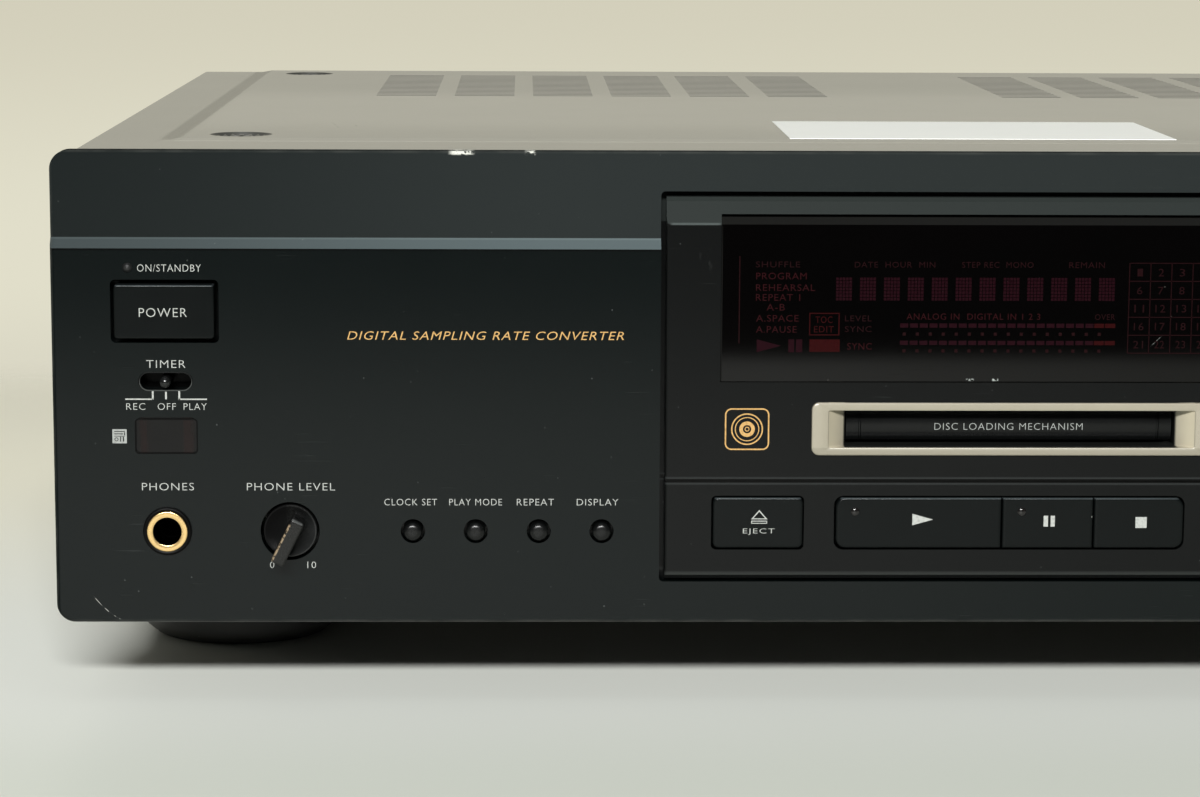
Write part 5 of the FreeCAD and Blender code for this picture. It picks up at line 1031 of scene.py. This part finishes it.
def screws():
    """Heads with a cross recess over the cover's, feet's and back plate's screws."""
    dish = [(side * 176.5, y, 123) for side in (-1, 1) for y in (-108, 144.5)]
    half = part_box("top_cover")[1][0] / MM
    spots = [(x, z) for x in (16 - half, -75, 20, 105, half - 16) for z in (27.2, 113.3)]
    foot = [(side * 180, y) for side in (-1, 1) for y in (-79.5, 103.5)]
    lining = [(7.3, 1.98), (6.2, 0.06), (1.6, 0.06), (1.6, 0.02), (6.22, 0.02), (7.33, 1.96)]
    piece("cover_screw_heads", [part for x, y, z in dish for part in (
        recessed_head((x, y, z), "up", 3.4, 1.6), rod(1.45, 6.05, (x, y, z - 6), "up"))],
        DISH, replaces=("cover_screws",))
    piece("dish_linings", [turned(lining, place, "up", 48, True) for place in dish], DISH)
    piece("rear_screw_heads", [part for x, z in spots for part in (
        recessed_head((x, REAR, z), "back", 3.4, 1.6), rod(1.45, 5.05, (x, REAR - 5, z), "back"))],
        BRIGHT, replaces=("rear_screws",))
    piece("foot_screw_heads", [part for x, y in foot for part in (
        recessed_head((x, y, 4), "down", 4.2, 2.4, 0.6), rod(1.95, 20.05, (x, y, 3.95), "up"))],
        BRIGHT, replaces=("foot_screws",))
    profile = [(4.6, 0), (20.5, 0), (21.2, 0.15), (21.8, 0.7), (23, 1.6), (23.9, 2.4), (24.4, 3.6), (24.7, 9),
               (25, 9.4), (25, 17.4), (24.8, 17.8), (24.4, 18), (2.1, 18), (2.1, 4), (4.6, 4)]
    piece("foot_mouldings", [turned(profile, (x, y, 0), "up", 96, True) for x, y in foot], RUBBER,
          replaces=("feet",))


screws()


def back_print():
    """Words, jack collars, socket doors and inlet pins of the back plate."""
    words = [((93, 94.6), ("LINE IN", 115.2, 124.8), ("LINE OUT", 132.6, 143.4), ("COAXIAL", 150.8, 161.2)),
             ((84.4, 86), ("L", 128.2, 129.2)), ((62.4, 64), ("R", 128.1, 129.3)),
             ((84.4, 86), ("IN", 146, 147.8)), ((62.4, 64), ("OUT", 145.2, 148.4)),
             ((88, 89.6), ("OPTICAL", 57, 67)),
             ((84.2, 85.6), ("IN 1", 37.6, 42.4), ("IN 2", 59.6, 64.4), ("OUT", 81.6, 86.4)),
             ((56.6, 58.4), ("AC IN", -169.4, -160.6))]
    shells = [lettering(text, x, z, REAR, weight=0.01, facing="back") for text, x, z in words_of(words)]
    rim = [(105.9, 170.1, 97.2, 97.45), (105.9, 170.1, 54, 54.25), (105.9, 106.15, 54.25, 97.2),
           (169.85, 170.1, 54.25, 97.2)]
    piece("rear_print", shells + [tiles(rim, REAR - UNDER, REAR + OVER)], WHITE_INK)
    ring = [(4.25, 0), (6.4, 0), (6.4, 0.9), (6.1, 1.2), (4.25, 1.2)]
    core = [(1.7, 0), (3.4, 0), (3.4, 7.6), (3.1, 8), (1.9, 8), (1.7, 7.8)]
    core_y = 163.2
    for name, finish, spots in (("red_collars", RED, [(120, 63.2), (138, 63.2)]),
                                ("white_collars", PALE, [(120, 85.2), (138, 85.2)]),
                                ("orange_collars", ORANGE, [(156, 63.2), (156, 85.2)])):
        piece(name, [turned(ring, (x, REAR, z), "back", 48, True) for x, z in spots]
              + [turned(core, (x, core_y, z), "back", 32, True) for x, z in spots], finish)
    sockets, socket_z, half, door = (40, 62, 84), 74.2, 4.2, REAR - 1.6
    pip = [(0, 0), (1, 0), (0.8, 0.4), (0, 0.5)]
    piece("optical_doors",
          [block(x - half, x + half, REAR - 2.4, door, socket_z - half, socket_z + half) for x in sockets]
          + [turned(pip, (x, door, socket_z), "back", 16) for x in sockets], DOOR)
    piece("inlet_pins", [turned([(0, 0), (1.2, 0)] + round_tip(1.2, 10.6, 0.6) + [(0, 10.6)],
                                (-165 + side * 4.3, 146.8, 45.2), "back", 20) for side in (-1, 1)],
          BRIGHT)


back_print()


# ---- table, light and camera: from here in metres ----

def table():
    """Pale table top that fades out well away from the deck on every side."""
    made = Finish("table_top", 0.5, specular=0.25)
    made.paint(made.mix((225, 228, 221), (229, 231, 225), made.noise(120)))
    # Painted light: the front of the top is painted a cooler tone and the back paler and warmer, for how the
    # light falls from front to back.
    made.over((214, 218, 208), made.y.rise(-150, -240))
    made.over((241, 238, 219), made.y.rise(-110, 150))
    made.relief(made.noise(1.5), 0.02)
    near = made.y.rise(-735, -690) * made.y.rise(390, 255) * made.x.away(0).rise(1300, 900)
    made.material.surface_render_method = "BLENDED"
    clear = add_node(made.tree, "BsdfTransparent")
    faded = add_node(made.tree, "MixShader")
    for slot, value in zip(faded.inputs, (near, clear.outputs[0], made.shader.outputs[0])):
        feed(made.tree, slot, value)
    feed(made.tree, made.tree.nodes["Material Output"].inputs["Surface"], faded.outputs[0])
    mesh = bpy.data.meshes.new("table")
    mesh.from_pydata([(-1.5, -0.9, 0), (1.5, -0.9, 0), (1.5, 0.5, 0), (-1.5, 0.5, 0)], [], [(0, 1, 2, 3)])
    mesh.materials.append(made.material)
    top = placed("table", mesh)


table()


def studio():
    """World: a pale backdrop to the camera, and to the deck a room that is pale behind it and above."""
    world = bpy.data.worlds.new("studio")
    bpy.context.scene.world = world
    world.use_nodes = True
    tree = world.node_tree
    split = add_node(tree, "SeparateXYZ", Vector=add_node(tree, "TexCoord").outputs["Generated"])
    y, z = Signal(tree, split.outputs[1]), Signal(tree, split.outputs[2])
    wall = blend(tree, (225, 222, 202), (211, 207, 187), z.rise(-0.105, -0.03))
    wall = blend(tree, (217, 214, 196), wall, z.rise(-0.15, -0.115))
    seen = tree.nodes["Background"]
    feed(tree, seen.inputs["Color"], wall)
    feed(tree, seen.inputs["Strength"], 1)
    pale = blend(tree, (0.48, 0.465, 0.385, 1), (1.15, 1.11, 0.93, 1), z.rise(0.1, 0.36))
    sides = blend(tree, (0.02, 0.02, 0.021, 1), pale, y.rise(-0.15, 0.35))
    above = blend(tree, sides, (0.05, 0.054, 0.058, 1), z.rise(0.3, 0.6))
    room = add_node(tree, "Background", Color=above, Strength=1)
    mixed = add_node(tree, "MixShader")
    ray = add_node(tree, "LightPath").outputs["Is Camera Ray"]
    for slot, value in zip(mixed.inputs, (ray, room.outputs[0], seen.outputs[0])):
        feed(tree, slot, value)
    feed(tree, tree.nodes["World Output"].inputs["Surface"], mixed.outputs[0])


studio()


def lamp(name, place, aim, size, power, colour):
    """Rectangular area light at a place, turned to shine at its aim."""
    light = bpy.data.lights.new(name, "AREA")
    light.shape = "RECTANGLE"
    light.size, light.size_y = size
    light.energy = power
    light.color = colour
    holder = placed(name, light)
    holder.location = place
    holder.rotation_euler = (Vector(aim) - Vector(place)).to_track_quat("-Z", "Y").to_euler()


lamp("overhead", (-0.2, -0.28, 1.2), (-0.2, -0.27, 0.1), (0.6, 0.5), 0.8, (0.93, 0.98, 1))
lamp("front_softbox", (-0.4, -2.85, 1.48), (-0.05, -0.14, 0.03), (1.5, 0.27), 158, (1, 1, 0.985))

# The camera's focal length and picture width in pixels, and its sensor in millimetres.
FOCAL, PICTURE, SENSOR = 3317, 1200, 36


def camera():
    """Camera from its place, its pitch down, its turn to the right and its roll."""
    pitch, yaw, roll = (math.radians(angle) for angle in (8.82, 1.35, 0.278))
    ahead = Vector((math.sin(yaw) * math.cos(pitch), math.cos(yaw) * math.cos(pitch), -math.sin(pitch)))
    level = Vector((math.cos(yaw), -math.sin(yaw), 0))
    above = level.cross(ahead)
    right = math.cos(roll) * level + math.sin(roll) * above
    up = -math.sin(roll) * level + math.cos(roll) * above
    data = bpy.data.cameras.new("camera")
    data.sensor_width = SENSOR
    data.lens = FOCAL / PICTURE * SENSOR
    data.clip_start, data.clip_end = 0.01, 50
    made = placed("camera", data)
    turn = Matrix((right, up, -ahead)).transposed().to_4x4()
    made.matrix_world = Matrix.Translation((-0.110, -0.8931, 0.1838)) @ turn
    bpy.context.scene.camera = made


camera()
bpy.context.scene.view_settings.view_transform = "Standard"
